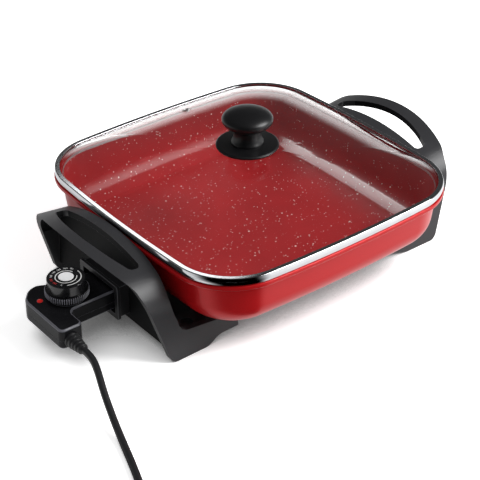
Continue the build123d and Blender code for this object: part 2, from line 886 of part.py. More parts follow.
with BuildPart() as housing_base:
    with BuildSketch(level(axis_height)):
        add(control_outline.sketch)
    extrude(amount=-(axis_height - control_bottom))
    bottom_edges = housing_base.faces().sort_by(Axis.Z)[0].edges().sort_by(Axis.X)
    fillet(bottom_edges[:-1], housing_edge)
    with BuildSketch(level(axis_height)):
        add(control_cavity.sketch)
    extrude(amount=-(axis_height - control_floor), mode=Mode.SUBTRACT)
    with BuildSketch(level(control_bottom)):
        with Locations(*post_places):
            Circle(housing_screw_radius + screw_fit)
    extrude(amount=housing_wall, mode=Mode.SUBTRACT)
    with BuildSketch(level(control_bottom)):
        with Locations(*post_places):
            Circle(housing_screw_head_radius + screw_fit)
    extrude(amount=housing_screw_head_height, mode=Mode.SUBTRACT)
    with BuildSketch(relief_plane):
        Circle(relief_neck_radius + snug_gap)
    extrude(amount=-housing_wall, mode=Mode.SUBTRACT)
finish(housing_base, "housing_base")

with BuildPart() as housing_screws:
    with BuildSketch(level(control_bottom)):
        with Locations(*post_places):
            Circle(housing_screw_head_radius)
    extrude(amount=housing_screw_head_height)
    with BuildSketch(level(control_bottom + housing_screw_head_height)):
        with Locations(*post_places):
            Circle(housing_screw_radius)
    extrude(amount=housing_wall - housing_screw_head_height + housing_screw_depth - screw_end_gap)
finish(housing_screws, "housing_screws")

# Inside the control: contacts and probe in an insulating block, and the thermostat's switch
with BuildPart() as contact_block:
    with BuildSketch(across(-nose_end)):
        with Locations((0, (control_floor + control_ceiling) / 2)):
            Rectangle(
                2 * (neck_half - housing_wall - inner_gap), control_ceiling - control_floor - 2 * inner_gap
            )
        with Locations((terminal_half, axis_height), (-terminal_half, axis_height)):
            Circle(sleeve_radius + snug_gap, mode=Mode.SUBTRACT)
        with Locations((0, axis_height)):
            Circle(probe_radius + snug_gap, mode=Mode.SUBTRACT)
    extrude(amount=-block_length)
finish(contact_block, "contact_block")

with BuildPart() as contact_sleeves:
    with BuildSketch(across(-nose_end)):
        with Locations((terminal_half, axis_height), (-terminal_half, axis_height)):
            Circle(sleeve_radius)
            Circle(pin_radius + contact_gap, mode=Mode.SUBTRACT)
    extrude(amount=-sleeve_length)
finish(contact_sleeves, "contact_sleeves")

with BuildPart() as probe_tube:
    with BuildSketch(across(-probe_tail)):
        with Locations((0, axis_height)):
            Circle(probe_radius)
    extrude(amount=probe_tail - probe_tip)
    fillet(probe_tube.faces().sort_by(Axis.X)[-1].edges(), probe_nose)
finish(probe_tube, "probe_tube")

with BuildPart() as thermostat_frame:
    with BuildSketch(level(control_floor)):
        with Locations((-(frame_inner + frame_outer) / 2, 0)):
            Rectangle(frame_outer - frame_inner, 2 * frame_half)
    extrude(amount=frame_sheet)
    with BuildSketch(across(-frame_inner)):
        with Locations((0, (control_floor + axis_height + frame_half / 2) / 2)):
            Rectangle(2 * frame_half, axis_height + frame_half / 2 - control_floor)
        with Locations((0, axis_height)):
            Circle(probe_radius + snug_gap, mode=Mode.SUBTRACT)
    extrude(amount=-frame_sheet)
finish(thermostat_frame, "thermostat_frame")

stack_bottom = control_floor + frame_sheet
blade_bottom = stack_bottom + stack_height
stack_places = (-(stack_outer - stack_length / 2), stack_front + stack_width / 2)
with BuildPart() as blade_stack:
    for block_bottom in (stack_bottom, blade_bottom + blade_thickness):
        with BuildSketch(level(block_bottom)):
            with Locations(stack_places):
                Rectangle(stack_length, stack_width)
        extrude(amount=stack_height)
finish(blade_stack, "blade_stack")

with BuildPart() as bimetal_blade:
    with BuildSketch(level(blade_bottom)):
        with Locations((-(stack_outer + blade_inner) / 2, stack_front + stack_width / 2)):
            Rectangle(stack_outer - blade_inner, stack_width - 2 * blade_thickness)
    extrude(amount=blade_thickness)
finish(bimetal_blade, "bimetal_blade")

# Thermostat dial on its shaft
dial_axis = Axis((pan_x - dial_x, 0, 0), (0, 0, 1))
dial_bottom = control_top + collar_height + dial_gap
dial_top = dial_bottom + skirt_height + dial_height
bearing_bottom = control_ceiling - bearing_length
cam_top = bearing_bottom - inner_gap

with BuildPart() as dial_shaft:
    with BuildSketch(level(cam_top - cam_thickness)):
        with Locations((-dial_x, 0)):
            Circle(cam_radius)
    extrude(amount=cam_thickness)
    with BuildSketch(level(cam_top)):
        with Locations((-dial_x, 0)):
            Circle(shaft_radius)
    extrude(amount=dial_bottom + shaft_hold - cam_top)
finish(dial_shaft, "dial_shaft")

with BuildPart() as dial_knob:
    with BuildSketch(level(dial_bottom)):
        with Locations((-dial_x, 0)):
            Circle(skirt_radius)
            with PolarLocations(skirt_radius + knurl_radius / 2, knurl_count):
                Circle(knurl_radius, mode=Mode.SUBTRACT)
    extrude(amount=skirt_height)
    with BuildSketch(level(dial_bottom + skirt_height)):
        with Locations((-dial_x, 0)):
            Circle(dial_radius)
    extrude(amount=dial_height)
    fillet(dial_knob.faces().sort_by(Axis.Z)[-1].edges(), dial_edge)
    with BuildSketch(level(dial_top)):
        with Locations((-dial_x, 0)):
            Circle(cap_radius + snug_gap)
    extrude(amount=-cap_recess, mode=Mode.SUBTRACT)
    with BuildSketch(level(dial_bottom)):
        with Locations((-dial_x, 0)):
            Circle(shaft_radius + snug_gap)
    extrude(amount=shaft_hold + snug_gap, mode=Mode.SUBTRACT)
finish(dial_knob, "dial_knob")

with BuildPart() as dial_cap:
    with BuildSketch(level(dial_top - cap_recess)):
        with Locations((-dial_x, 0)):
            Circle(cap_radius)
    extrude(amount=cap_recess + cap_proud)
    fillet(dial_cap.faces().sort_by(Axis.Z)[-1].edges(), cap_edge)
finish(dial_cap, "dial_cap")

# Pilot lamp: a lens let into the top of the housing, with the neon lamp under it
with BuildPart() as pilot_lens:
    with BuildSketch(level(control_ceiling)):
        with Locations((-lamp_x, lamp_y)):
            Circle(lens_radius + lens_rim)
    extrude(amount=-lens_rim_height)
    with BuildSketch(level(control_ceiling)):
        with Locations((-lamp_x, lamp_y)):
            Circle(lens_radius)
    extrude(amount=housing_wall + lens_proud)
    fillet(pilot_lens.faces().sort_by(Axis.Z)[-1].edges(), lens_edge)
finish(pilot_lens, "pilot_lens")

with BuildPart() as neon_lamp:
    with BuildSketch(level(control_ceiling - lens_rim_height - inner_gap)):
        with Locations((-lamp_x, lamp_y)):
            Circle(lamp_radius)
    extrude(amount=-lamp_length)
    fillet(neon_lamp.faces().sort_by(Axis.Z)[-1].edges(), lamp_radius / 2)
finish(neon_lamp, "neon_lamp")

# Strain relief: a ribbed taper outside the housing, a neck through its wall and a stop inside
relief_step = relief_length / relief_ribs
with BuildPart() as strain_relief:
    for rib in range(relief_ribs):
        rib_radius = relief_root_radius - (relief_root_radius - relief_tip_radius) * rib / (relief_ribs - 1)
        with BuildSketch(relief_plane.offset(rib * relief_step)):
            Circle(rib_radius)
        extrude(amount=relief_step * relief_rib_share)
        with BuildSketch(relief_plane.offset(rib * relief_step)):
            Circle(rib_radius - relief_groove)
        extrude(amount=relief_step)
    with BuildSketch(relief_plane):
        Circle(relief_neck_radius)
    extrude(amount=-housing_wall)
    with BuildSketch(relief_plane.offset(-housing_wall)):
        Circle(relief_inner_radius)
    extrude(amount=-relief_inner_length)
finish(strain_relief, "strain_relief")


# Cord: straight runs joined by arcs as large as the runs allow
def cord_tube(points, name):
    """Tube through a route, with its bend radii and its volume against section times length printed."""
    spots = [Vector(*point) + Vector(pan_x, 0, 0) for point in points]
    runs = [after - before for before, after in zip(spots, spots[1:])]
    bends = []
    for before, after in zip(runs, runs[1:]):
        half_turn = radians(before.get_angle(after)) / 2
        bends.append(bend_share * min(before.length, after.length) / tan(half_turn))
    print(name, "bend radii", [round(bend) for bend in bends])
    with BuildPart() as tube:
        with BuildLine() as route:
            FilletPolyline(*spots, radius=bends)
        with BuildSketch(Plane(route.line @ 0, z_dir=route.line % 0)):
            Circle(cord_diameter / 2)
        sweep(path=route.line)
    length = route.wire().length
    plain = pi * cord_diameter**2 / 4 * length
    print(name, "length", round(length, 1), "volume ratio", round(tube.part.volume / plain, 4))
    finish(tube, name)


relief_tip_y = -(arm_front + relief_length)
lead_points = [(-relief_x, relief_tip_y, axis_height)]
lead_points += [(along - relief_x, aside + relief_tip_y, height) for along, aside, height in lead_route]
cord_tube(lead_points, "cord_lead")

# Coil: two layers of turns, spiralling in below and out above, on biarcs of a quarter turn.
# It starts in line with the lead, and its last turn ends where the cord runs out along +X.
lead_end = Vector(*lead_points[-1])
lead_way = (lead_end - Vector(*lead_points[-2])).normalized()
lead_heading = degrees(atan2(lead_way.Y, lead_way.X))
inward_angle = degrees(atan2(coil_pitch / (2 * pi), coil_outer))
start_angle = lead_heading - 90 - inward_angle
coil_spot = lead_end + lead_way * cord_diameter
coil_middle = coil_spot - Vector(cos(radians(start_angle)), sin(radians(start_angle))) * coil_outer
all_turns = coil_turns_in + coil_turns_climb + coil_turns_out
over_turned = (start_angle + 360 * all_turns + 90 - inward_angle) % 360
all_turns -= over_turned / 360


def coil_point(turn):
    """Point of the coil after a number of turns: in along the lower layer, up in the climb, out above."""
    climbed = min(max((turn - coil_turns_in) / coil_turns_climb, 0), 1)
    outward = max(turn - coil_turns_in - coil_turns_climb, 0)
    inward = min(turn, coil_turns_in)
    dip = coil_pitch * coil_turns_climb * climbed * (1 - climbed)
    radius = coil_outer - coil_pitch * inward - dip + coil_pitch * outward
    angle = radians(start_angle + 360 * turn)
    lift = coil_layer * climbed**2 * (3 - 2 * climbed)
    return coil_middle + Vector(radius * cos(angle), radius * sin(angle), lift)


def coil_way(turn):
    """Direction of the coil after a number of turns."""
    return (coil_point(turn + way_step) - coil_point(turn - way_step)).normalized()


def biarc(start, start_way, end, end_way):
    """Two tangent arcs from one point and direction to another, with equal tangent lengths."""
    chord = end - start
    along = chord.dot(start_way + end_way)
    bend = 2 * (1 - start_way.dot(end_way))
    reach = (-along + sqrt(along**2 + bend * chord.dot(chord))) / bend
    first = start + start_way * reach
    second = end - end_way * reach
    joint = (first + second) / 2
    TangentArc(start, joint, tangent=start_way)
    TangentArc(joint, end, tangent=second - first)


way_step = 0.001
quarters = ceil(4 * all_turns)
turn_marks = [all_turns * quarter / quarters for quarter in range(quarters + 1)]
coil_shift = Vector(pan_x, 0, 0)
coil_end = coil_point(all_turns)
end_way = Vector(1, 0, 0)
with BuildPart() as cord_coil:
    with BuildLine() as coil_line:
        Line(lead_end + coil_shift, coil_spot + coil_shift)
        for before, after in zip(turn_marks, turn_marks[1:]):
            way_in = lead_way if before == 0 else coil_way(before)
            way_out = end_way if after == all_turns else coil_way(after)
            biarc(coil_point(before) + coil_shift, way_in, coil_point(after) + coil_shift, way_out)
        Line(coil_end + coil_shift, coil_end + end_way * cord_diameter + coil_shift)
    with BuildSketch(Plane(coil_line.line @ 0, z_dir=lead_way)):
        Circle(cord_diameter / 2)
    sweep(path=coil_line.line)
finish(cord_coil, "cord_coil")

coil_path = coil_line.wire()
samples = int(3 * coil_path.length / cord_diameter)
coil_dots = [coil_path @ (mark / samples) for mark in range(samples + 1)]
next_turn = samples // ceil(2 * all_turns)
least = min(
    (coil_dots[here] - coil_dots[there]).length
    for here in range(samples + 1)
    for there in range(here + next_turn, samples + 1)
)
plain_coil = pi * cord_diameter**2 / 4 * coil_path.length
print("cord_coil length", round(coil_path.length, 1), "least gap", round(least - cord_diameter, 2))
print("cord_coil volume ratio", round(cord_coil.part.volume / plain_coil, 4))

tail_start = coil_end + end_way * cord_diameter
tail_drop = tail_start.Z - plug_thickness / 2
tail_points = [
    tail_start + end_way * tail_length * share - Vector(0, 0, tail_drop) * down
    for share, down in ((0, 0), (1 / 3, 0), (2 / 3, 1), (1, 1))
]
cord_tube([tuple(point) for point in tail_points], "cord_tail")

# Tie: a flat band round the turns, resting on the worktop
tie_turn = ((tie_angle - start_angle) % 360) / 360
tie_radii = [
    (coil_point(turn) - coil_middle - Vector(0, 0, coil_point(turn).Z - coil_middle.Z)).length
    for turn in (tie_turn, tie_turn + 1, tie_turn + 2, tie_turn + 3)
]
tie_low = min(tie_radii) - cord_diameter / 2 - tie_side_gap
tie_high = max(tie_radii) + cord_diameter / 2 + tie_side_gap
tie_bottom = lead_end.Z - cord_diameter / 2 - tie_under_gap
tie_top = lead_end.Z + coil_layer + cord_diameter / 2 + tie_under_gap
tie_out = Vector(cos(radians(tie_angle)), sin(radians(tie_angle)), 0)
tie_plane = Plane(
    Vector(coil_middle.X + pan_x, coil_middle.Y, 0), x_dir=tie_out, z_dir=tie_out.cross(Vector(0, 0, 1))
)
with BuildPart() as cord_tie:
    with BuildSketch(tie_plane):
        with Locations(((tie_low + tie_high) / 2, (tie_bottom + tie_top) / 2)):
            Rectangle(tie_high - tie_low + 2 * tie_thickness, tie_top - tie_bottom + 2 * tie_thickness)
            Rectangle(tie_high - tie_low, tie_top - tie_bottom, mode=Mode.SUBTRACT)
    extrude(amount=tie_width / 2, both=True)
finish(cord_tie, "cord_tie")

# Mains plug: a tapered neck, a flat body that lies on the worktop, and three round pins
plug_start = tail_points[-1] + coil_shift
plug_back = Plane(plug_start, x_dir=(0, 1, 0), z_dir=(1, 0, 0))
with BuildPart() as plug_body:
    with BuildSketch(plug_back):
        Circle(plug_neck_tip)
    with BuildSketch(plug_back.offset(plug_neck_length)):
        Circle(plug_neck_radius)
    loft()
    with BuildSketch(plug_back.offset(plug_neck_length)):
        RectangleRounded(plug_width, plug_thickness, plug_corner)
    extrude(amount=plug_length)
    plug_ends = plug_body.faces().filter_by(Axis.X).sort_by(Axis.X)
    fillet(plug_ends[-1].edges(), plug_face_edge)
    fillet(plug_ends[-2].outer_wire().edges(), plug_back_edge)
    with BuildSketch(plug_back.offset(plug_neck_length + plug_length)):
        with Locations((plug_pin_half, 0), (-plug_pin_half, 0), (0, plug_earth_rise)):
            Circle(plug_pin_radius + snug_gap)
    extrude(amount=-plug_pin_root, mode=Mode.SUBTRACT)
finish(plug_body, "plug_body")

with BuildPart() as plug_pins:
    with BuildSketch(plug_back.offset(plug_neck_length + plug_length - plug_pin_root)):
        with Locations((plug_pin_half, 0), (-plug_pin_half, 0), (0, plug_earth_rise)):
            Circle(plug_pin_radius)
    extrude(amount=plug_pin_root + plug_pin_length)
    fillet(plug_pins.faces().filter_by(Axis.X).sort_by(Axis.X)[-3:].edges(), plug_pin_nose)
finish(plug_pins, "plug_pins")
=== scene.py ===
import json
import math
from functools import partial

import bmesh
import bpy
import numpy as np
from bpy.props import FloatProperty, FloatVectorProperty, IntProperty, PointerProperty
from bpy.types import NodeSocket, Operator, Panel, PropertyGroup
from mathutils import Matrix, Vector

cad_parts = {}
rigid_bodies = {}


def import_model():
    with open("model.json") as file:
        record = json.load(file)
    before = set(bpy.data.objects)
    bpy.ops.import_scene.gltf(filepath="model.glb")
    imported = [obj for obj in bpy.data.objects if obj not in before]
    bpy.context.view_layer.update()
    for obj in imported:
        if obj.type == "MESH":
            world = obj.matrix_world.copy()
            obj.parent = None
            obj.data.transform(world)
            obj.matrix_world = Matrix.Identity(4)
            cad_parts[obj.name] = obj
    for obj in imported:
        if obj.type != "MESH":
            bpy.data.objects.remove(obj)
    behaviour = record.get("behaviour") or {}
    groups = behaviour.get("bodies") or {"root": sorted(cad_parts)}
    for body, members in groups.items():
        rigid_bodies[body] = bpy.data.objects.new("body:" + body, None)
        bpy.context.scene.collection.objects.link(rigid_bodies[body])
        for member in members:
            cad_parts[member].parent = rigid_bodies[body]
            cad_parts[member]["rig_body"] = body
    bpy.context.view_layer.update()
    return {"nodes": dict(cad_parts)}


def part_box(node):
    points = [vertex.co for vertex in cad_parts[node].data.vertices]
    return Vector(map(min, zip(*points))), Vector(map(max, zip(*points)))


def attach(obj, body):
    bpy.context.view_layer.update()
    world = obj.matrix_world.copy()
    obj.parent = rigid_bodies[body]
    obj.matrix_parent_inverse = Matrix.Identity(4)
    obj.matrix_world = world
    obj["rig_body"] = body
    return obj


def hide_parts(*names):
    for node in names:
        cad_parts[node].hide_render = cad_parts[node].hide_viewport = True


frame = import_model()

bl_info = {
    "name": "Electric skillet",
    "version": (1, 0, 0),
    "blender": (4, 5, 0),
    "location": "View3D > Sidebar > Skillet",
    "description": "Surfaces and finishes of a square electric skillet with a plug-in control",
    "category": "Object",
}

# Profiles and places are in millimetres from the middle of the pan, and at() brings them into the frame.
mm = 0.001


def box_of(node):
    """Lowest and highest corner of a node in the frame, in millimetres."""
    return [np.array(corner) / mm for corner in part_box(node)]


def levels(node):
    """Lowest and highest level of a node, in millimetres."""
    return [corner[2] for corner in box_of(node)]


rim_low, rim_high = box_of("lid_rim")
pan_x = (rim_low[0] + rim_high[0]) / 2
lid_half = (rim_high[0] - rim_low[0]) / 2
rim_height = levels("pan")[1]


def at(points):
    """Points in millimetres from the middle of the pan, as points of the frame in metres."""
    return (np.asarray(points, float) + (pan_x, 0.0, 0.0)) * mm


def middle_of(node):
    """Middle of a node's box, from the middle of the pan."""
    return sum(box_of(node)) / 2 - (pan_x, 0.0, 0.0)


dial_x = middle_of("dial_knob")[0]
relief_x, relief_z = middle_of("strain_relief")[[0, 2]]


# Settings

def number(name, description, default, **kind):
    """A setting of one number, with its unit or subtype."""
    return FloatProperty(name=name, description=description, default=default, **kind)


metres = partial(number, unit="LENGTH", precision=4)
watts = partial(number, unit="POWER")
factor = partial(number, subtype="FACTOR")


def tint(name, description, default):
    """A setting of colour."""
    return FloatVectorProperty(
        name=name, description=description, default=default, subtype="COLOR", min=0, max=1
    )


class PanSettings(PropertyGroup):
    corner_radius: metres("Corner radius", "Radius of the lid's corners in plan", 0.060)
    side_bow: metres("Side bow", "Radius of the lid's bowed sides in plan", 1.5)
    coat: metres("Coat", "How far the coats stand on the bare casting", 0.00012, precision=5)
    enamel: tint("Enamel", "Red of the outside", (0.43, 0.007, 0.009))
    lining: tint("Lining", "Red of the non-stick inside", (0.27, 0.010, 0.012))
    fleck: tint("Flecks", "Colour of the flecks in the lining", (0.86, 0.74, 0.70))


class HandleSettings(PropertyGroup):
    edge: metres("Edge", "Rounding of the moulded edges", 0.0011)
    colour: tint("Phenolic", "Black of the handles and legs", (0.021, 0.021, 0.023))


class LidSettings(PropertyGroup):
    crown: metres("Band crown", "How far the steel band bulges outwards", 0.0009, precision=5)
    chrome: tint("Band", "Colour of the bright steel band", (0.62, 0.63, 0.65))
    knob: tint("Knob", "Black of the lid's knob", (0.004, 0.004, 0.0045))


class ControlSettings(PropertyGroup):
    knurls: IntProperty(name="Knurls", description="Grooves round the dial's skirt", default=60, min=12)
    knurl_depth: metres("Knurl depth", "Depth of the grooves", 0.0011)
    housing: tint("Housing", "Black of the control", (0.007, 0.007, 0.008))
    marks: tint("Marks", "Print on the dial", (0.80, 0.80, 0.79))
    hot_marks: tint("Hot marks", "Print of the hottest settings", (0.55, 0.03, 0.03))
    lamp: tint("Lamp", "Red of the pilot lens", (0.60, 0.015, 0.012))


class CordSettings(PropertyGroup):
    diameter: metres("Diameter", "Diameter of the mains cord", 0.0065)
    length: metres("Length", "Length from the strain relief to the plug", 1.147, precision=3)
    colour: tint("Sheath", "Black of the cord and plug", (0.013, 0.013, 0.014))


class StageSettings(PropertyGroup):
    floor: tint("Floor", "Colour of the floor", (0.90, 0.90, 0.90))
    key: watts("Key", "Power of the softbox on the right", 45.0)
    overhead: watts("Overhead", "Power of the softbox above", 9.0)
    rim: watts("Rim", "Power of the small softbox behind, seen in the lining only", 50.0)
    strip: watts("Strip", "Power of the strip light, seen in the band only", 0.38)
    sky: factor("Sky", "Strength of the light from all round", 0.3)
    ceiling: factor("Ceiling", "Strength of the ceiling in reflections", 0.07)


# Meshes

def linked(name, data):
    """A new object in the scene, from a mesh, curve, lamp or camera."""
    made = bpy.data.objects.new(name, data)
    bpy.context.scene.collection.objects.link(made)
    return made


def rows_of(items, field):
    """A field of three numbers of a mesh's vertices or faces, as one array."""
    found = np.empty(len(items) * 3, np.float32)
    items.foreach_get(field, found)
    return found.reshape(-1, 3)


def corners_of(mesh):
    """The vertices of each face."""
    return [list(face.vertices) for face in mesh.polygons]


def paint(mesh, material, chosen):
    """Give a mesh one more material, for the faces that are true in an array of its first faces."""
    mesh.materials.append(material)
    index = np.zeros(len(mesh.polygons), np.int32)
    mesh.polygons.foreach_get("material_index", index)
    index[:chosen.size][chosen.ravel()] = len(mesh.materials) - 1
    mesh.polygons.foreach_set("material_index", index)


def put_piece(name, shell, body, slot, material, *nodes, sharp=35.0, weighted=True):
    """A closed mesh from points and faces, turned outwards, smooth but for its sharp edges, riding on a body."""
    points, faces = shell
    mesh = bpy.data.meshes.new(name)
    mesh.from_pydata(np.asarray(points).tolist(), [], faces)
    work = bmesh.new()
    work.from_mesh(mesh)
    bmesh.ops.recalc_face_normals(work, faces=work.faces)
    work.to_mesh(mesh)
    work.free()
    mesh.shade_smooth()
    mesh.set_sharp_from_angle(angle=math.radians(sharp))
    mesh.materials.append(material)
    piece = linked(name, mesh)
    if weighted:
        piece.modifiers.new("flat faces", "WEIGHTED_NORMAL").keep_sharp = True
    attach(piece, body)
    if nodes:
        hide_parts(*nodes)
    return piece


def grid_faces(rows, columns, closed):
    """Quads of a grid whose columns go round, and whose rows do too where it is closed."""
    here = np.arange(rows if closed else rows - 1)[:, None]
    along = np.arange(columns)[None, :]
    after = (here + 1) % rows
    beside = (along + 1) % columns
    corners = np.broadcast_arrays(
        here * columns + along, here * columns + beside, after * columns + beside, after * columns + along
    )
    return np.stack(corners, -1).reshape(-1, 4).tolist()


def grid_shell(grid, closed=False, poles=()):
    """Points and faces of a grid of rows that go round, with fans from its first and last row to two poles."""
    rows, columns = grid.shape[:2]
    points = [grid.reshape(-1, 3)]
    faces = grid_faces(rows, columns, closed)
    along = np.arange(columns)
    beside = (along + 1) % columns
    for index, (pole, row) in enumerate(zip(poles, (0, rows - 1))):
        points.append(np.asarray(pole, float).reshape(1, 3))
        top = np.full(columns, rows * columns + index)
        faces += np.stack((row * columns + along, row * columns + beside, top), -1).tolist()
    return np.concatenate(points), faces


def rounded(corners, closed=False, steps=6):
    """Profile through corners of (across, up, radius): at each, an arc that touches both of its sides.

    The arc's middle is on the line that halves the corner, at radius / sin(half the angle).
    """
    spots = np.array([corner[:2] for corner in corners], float)
    radii = [corner[2] if len(corner) > 2 else 0.0 for corner in corners]
    found = []
    for index, (spot, radius) in enumerate(zip(spots, radii)):
        if not radius or (not closed and index in (0, len(spots) - 1)):
            found.append(spot[None, :])
            continue
        back = spots[index - 1] - spot
        onward = spots[(index + 1) % len(spots)] - spot
        back, onward = back / np.linalg.norm(back), onward / np.linalg.norm(onward)
        half = math.acos(np.clip(back @ onward, -1, 1)) / 2
        bisector = (back + onward) / np.linalg.norm(back + onward)
        middle = spot + bisector * radius / math.sin(half)
        turn = (math.pi / 2 - half) * np.linspace(-1, 1, steps + 1)[:, None]
        aside = np.array((-bisector[1], bisector[0]))
        aside = aside if aside @ onward > 0 else -aside
        found.append(middle - radius * (bisector * np.cos(turn) - aside * np.sin(turn)))
    return np.concatenate(found)


def arc(middle, radius, start, end, steps):
    """Points of an arc about a middle, from one angle to another in degrees."""
    angle = np.radians(np.linspace(start, end, steps + 1))
    return np.asarray(middle) + radius * np.stack((np.cos(angle), np.sin(angle)), -1)


def climbing(radius, rise, level, end, steps):
    """Points of a quarter of an ellipse, from its widest level up to an angle in degrees."""
    angle = np.radians(np.linspace(0, end, steps))
    return np.stack((radius * np.cos(angle), level + rise * np.sin(angle)), -1)


def revolved(profile, origin, way, columns, ripple=None):
    """Grid of a profile of (radius, along) turned round an axis: origin + radius x spoke + along x axis.

    A ripple is taken off the radius, as a grid of the same rows and columns.
    """
    axis = Vector(way).normalized()
    spoke = axis.orthogonal().normalized()
    other = np.array(axis.cross(spoke))
    axis, spoke = np.array(axis), np.array(spoke)
    angle = np.linspace(0, 2 * np.pi, columns, endpoint=False)[None, :, None]
    radius = np.repeat(profile[:, :1], columns, 1)
    radius = radius if ripple is None else radius - ripple
    spokes = spoke * np.cos(angle) + other * np.sin(angle)
    return at(np.asarray(origin) + radius[..., None] * spokes + profile[:, None, 1:] * axis)


def turned(profile, origin=(0, 0, 0), way=(0, 0, 1), columns=96, ripple=None):
    """Points and faces of a profile turned round an axis, on which its first and last points lie."""
    axis = np.array(Vector(way).normalized())
    poles = [at(np.asarray(origin) + along * axis) for along in profile[[0, -1], 1]]
    return grid_shell(revolved(profile[1:-1], origin, way, columns, ripple), poles=poles)


def outline_ring(side_steps=18, corner_steps=20):
    """Once round the lid's outline: for each point its normal, the middle of its arc and the arc's radius.

    A side is an arc of the bow's radius about a point far behind it, a corner an arc about its own middle,
    and the two touch where the corner's middle lies on the side's radius.
    """
    pan = bpy.context.scene.skillet_pan
    bow, corner = pan.side_bow / mm, pan.corner_radius / mm
    behind = bow - lid_half
    spread = (-behind + math.sqrt(2 * (bow - corner) ** 2 - behind**2)) / 2
    meet = math.atan2(spread, spread + behind)
    side = np.linspace(-meet, meet, side_steps, endpoint=False)
    bend = np.linspace(meet, np.pi / 2 - meet, corner_steps, endpoint=False)
    quarter = np.concatenate((side, bend))
    on_side = np.tile(np.arange(len(quarter)) < side_steps, 4)
    turn = np.repeat(np.arange(4) * np.pi / 2, len(quarter))
    angle = np.tile(quarter, 4) + turn
    centre = np.where(on_side, -behind, spread)
    across = np.where(on_side, 0.0, spread)
    middle = np.stack(
        (centre * np.cos(turn) - across * np.sin(turn), centre * np.sin(turn) + across * np.cos(turn)), -1
    )
    return np.stack((np.cos(angle), np.sin(angle)), -1), middle, np.where(on_side, bow, corner)


def carried(profile):
    """Grid of a profile of (inset, height, share) carried round the lid's outline.

    Each point is share x (middle + (radius - inset) x normal) at its height.
    """
    normal, middle, radius = outline_ring()
    inset, height = profile[:, 0][:, None], profile[:, 1][:, None]
    share = profile[:, 2][:, None, None] if profile.shape[1] > 2 else 1.0
    plan = share * (middle[None] + (radius[None] - inset)[..., None] * normal[None])
    return at(np.concatenate((plan, np.broadcast_to(height[..., None], plan.shape[:2] + (1,))), -1))


def edged_copy(node, name, width, material, painted_highlight_material, segments=3, lean_from=None):
    """A copy of a CAD node, merged and cleared of flat edges, whose sharp edges are rounded.

    The roundings take a lighter material, a painted highlight along the edges. So do faces that lean, between a
    least lean and level, where one is given.
    """
    sharp, flat, doubled, level = math.radians(32.0), math.radians(0.4), 3e-6, 0.94
    source = frame["nodes"][node]
    mesh = bpy.data.meshes.new(name)
    mesh.from_pydata(rows_of(source.data.vertices, "co").tolist(), [], corners_of(source.data))
    work = bmesh.new()
    work.from_mesh(mesh)
    bmesh.ops.remove_doubles(work, verts=work.verts, dist=doubled)
    bmesh.ops.dissolve_limit(work, angle_limit=flat, verts=work.verts, edges=work.edges)
    work.to_mesh(mesh)
    work.free()
    mesh.shade_smooth()
    mesh.set_sharp_from_angle(angle=sharp)
    mesh.materials.append(material)
    lean = np.abs(rows_of(mesh.polygons, "normal")[:, 2])
    # Leaning faces take the lighter material, a painted highlight.
    paint(mesh, painted_highlight_material, (lean > (lean_from or level)) & (lean < level))
    piece = linked(name, mesh)
    # The bevel's faces take the second material, a painted highlight along the edges.
    edges = piece.modifiers.new("edges", "BEVEL")
    edges.material = 1
    edges.limit_method = "ANGLE"
    edges.angle_limit = sharp
    edges.width = width
    edges.segments = segments
    edges.use_clamp_overlap = True
    edges.miter_outer = "MITER_ARC"
    piece.modifiers.new("flat faces", "WEIGHTED_NORMAL").keep_sharp = False
    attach(piece, source["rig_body"])
    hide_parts(node)
    return piece


# Shader nodes and groups

def feed(socket, value):
    """Link a socket to another, or set it to a number, a vector or a colour."""
    if isinstance(value, NodeSocket):
        socket.id_data.links.new(value, socket)
    else:
        socket.default_value = (*value, 1.0) if socket.type == "RGBA" else value


def fill(node, *values, **named):
    """Feed a node's inputs, the first ones in order and others by name, with an underline for a space."""
    for socket, value in zip(node.inputs, values):
        feed(socket, value)
    for label, value in named.items():
        feed(node.inputs[label.replace("_", " ")], value)


def add(tree, kind, *values, **named):
    """A new shader node, with its inputs fed as fill() does."""
    node = tree.nodes.new("ShaderNode" + kind)
    fill(node, *values, **named)
    return node


def math_node(operation, first, second, clamp=False):
    """A maths node of two values, at least one of them a socket."""
    tree = (first if isinstance(first, NodeSocket) else second).id_data
    node = add(tree, "Math", first, second)
    node.operation, node.use_clamp = operation, clamp
    return node.outputs[0]


times = partial(math_node, "MULTIPLY")
plus = partial(math_node, "ADD")
less = partial(math_node, "SUBTRACT")
larger = partial(math_node, "MAXIMUM")


def vector_node(operation, first, second=(0.0, 0.0, 0.0)):
    """A vector maths node, giving a value or a vector as its operation does."""
    node = add(first.id_data, "VectorMath", first, second)
    node.operation = operation
    return node.outputs["Value" if operation in ("LENGTH", "DOT_PRODUCT") else "Vector"]


def eased(value, start, end, first, last):
    """A value brought smoothly from the range of start to end into that of first to last."""
    node = add(
        value.id_data, "MapRange", Value=value, From_Min=start, From_Max=end, To_Min=first, To_Max=last
    )
    node.interpolation_type = "SMOOTHSTEP"
    return node.outputs["Result"]


def blend(share, first, second):
    """A colour between two, by a share that may go past them."""
    node = add(share.id_data, "Mix")
    node.data_type, node.clamp_factor = "RGBA", False
    for index, value in ((0, share), (6, first), (7, second)):
        feed(node.inputs[index], value)
    return node.outputs[2]


def noise_node(scale, detail, stretch=None):
    """Noise on Object coordinates, which a stretch may draw out along the axes."""
    place = add(scale.id_data, "TexCoord").outputs["Object"]
    if stretch:
        place = vector_node("MULTIPLY", place, stretch)
    return add(scale.id_data, "TexNoise", Vector=place, Scale=scale, Detail=detail).outputs["Fac"]


def spread_about(noise, middle, spread):
    """A noise brought to a middle value plus or minus a spread."""
    return plus(times(times(less(noise, 0.5), 2.0), spread), middle, clamp=True)


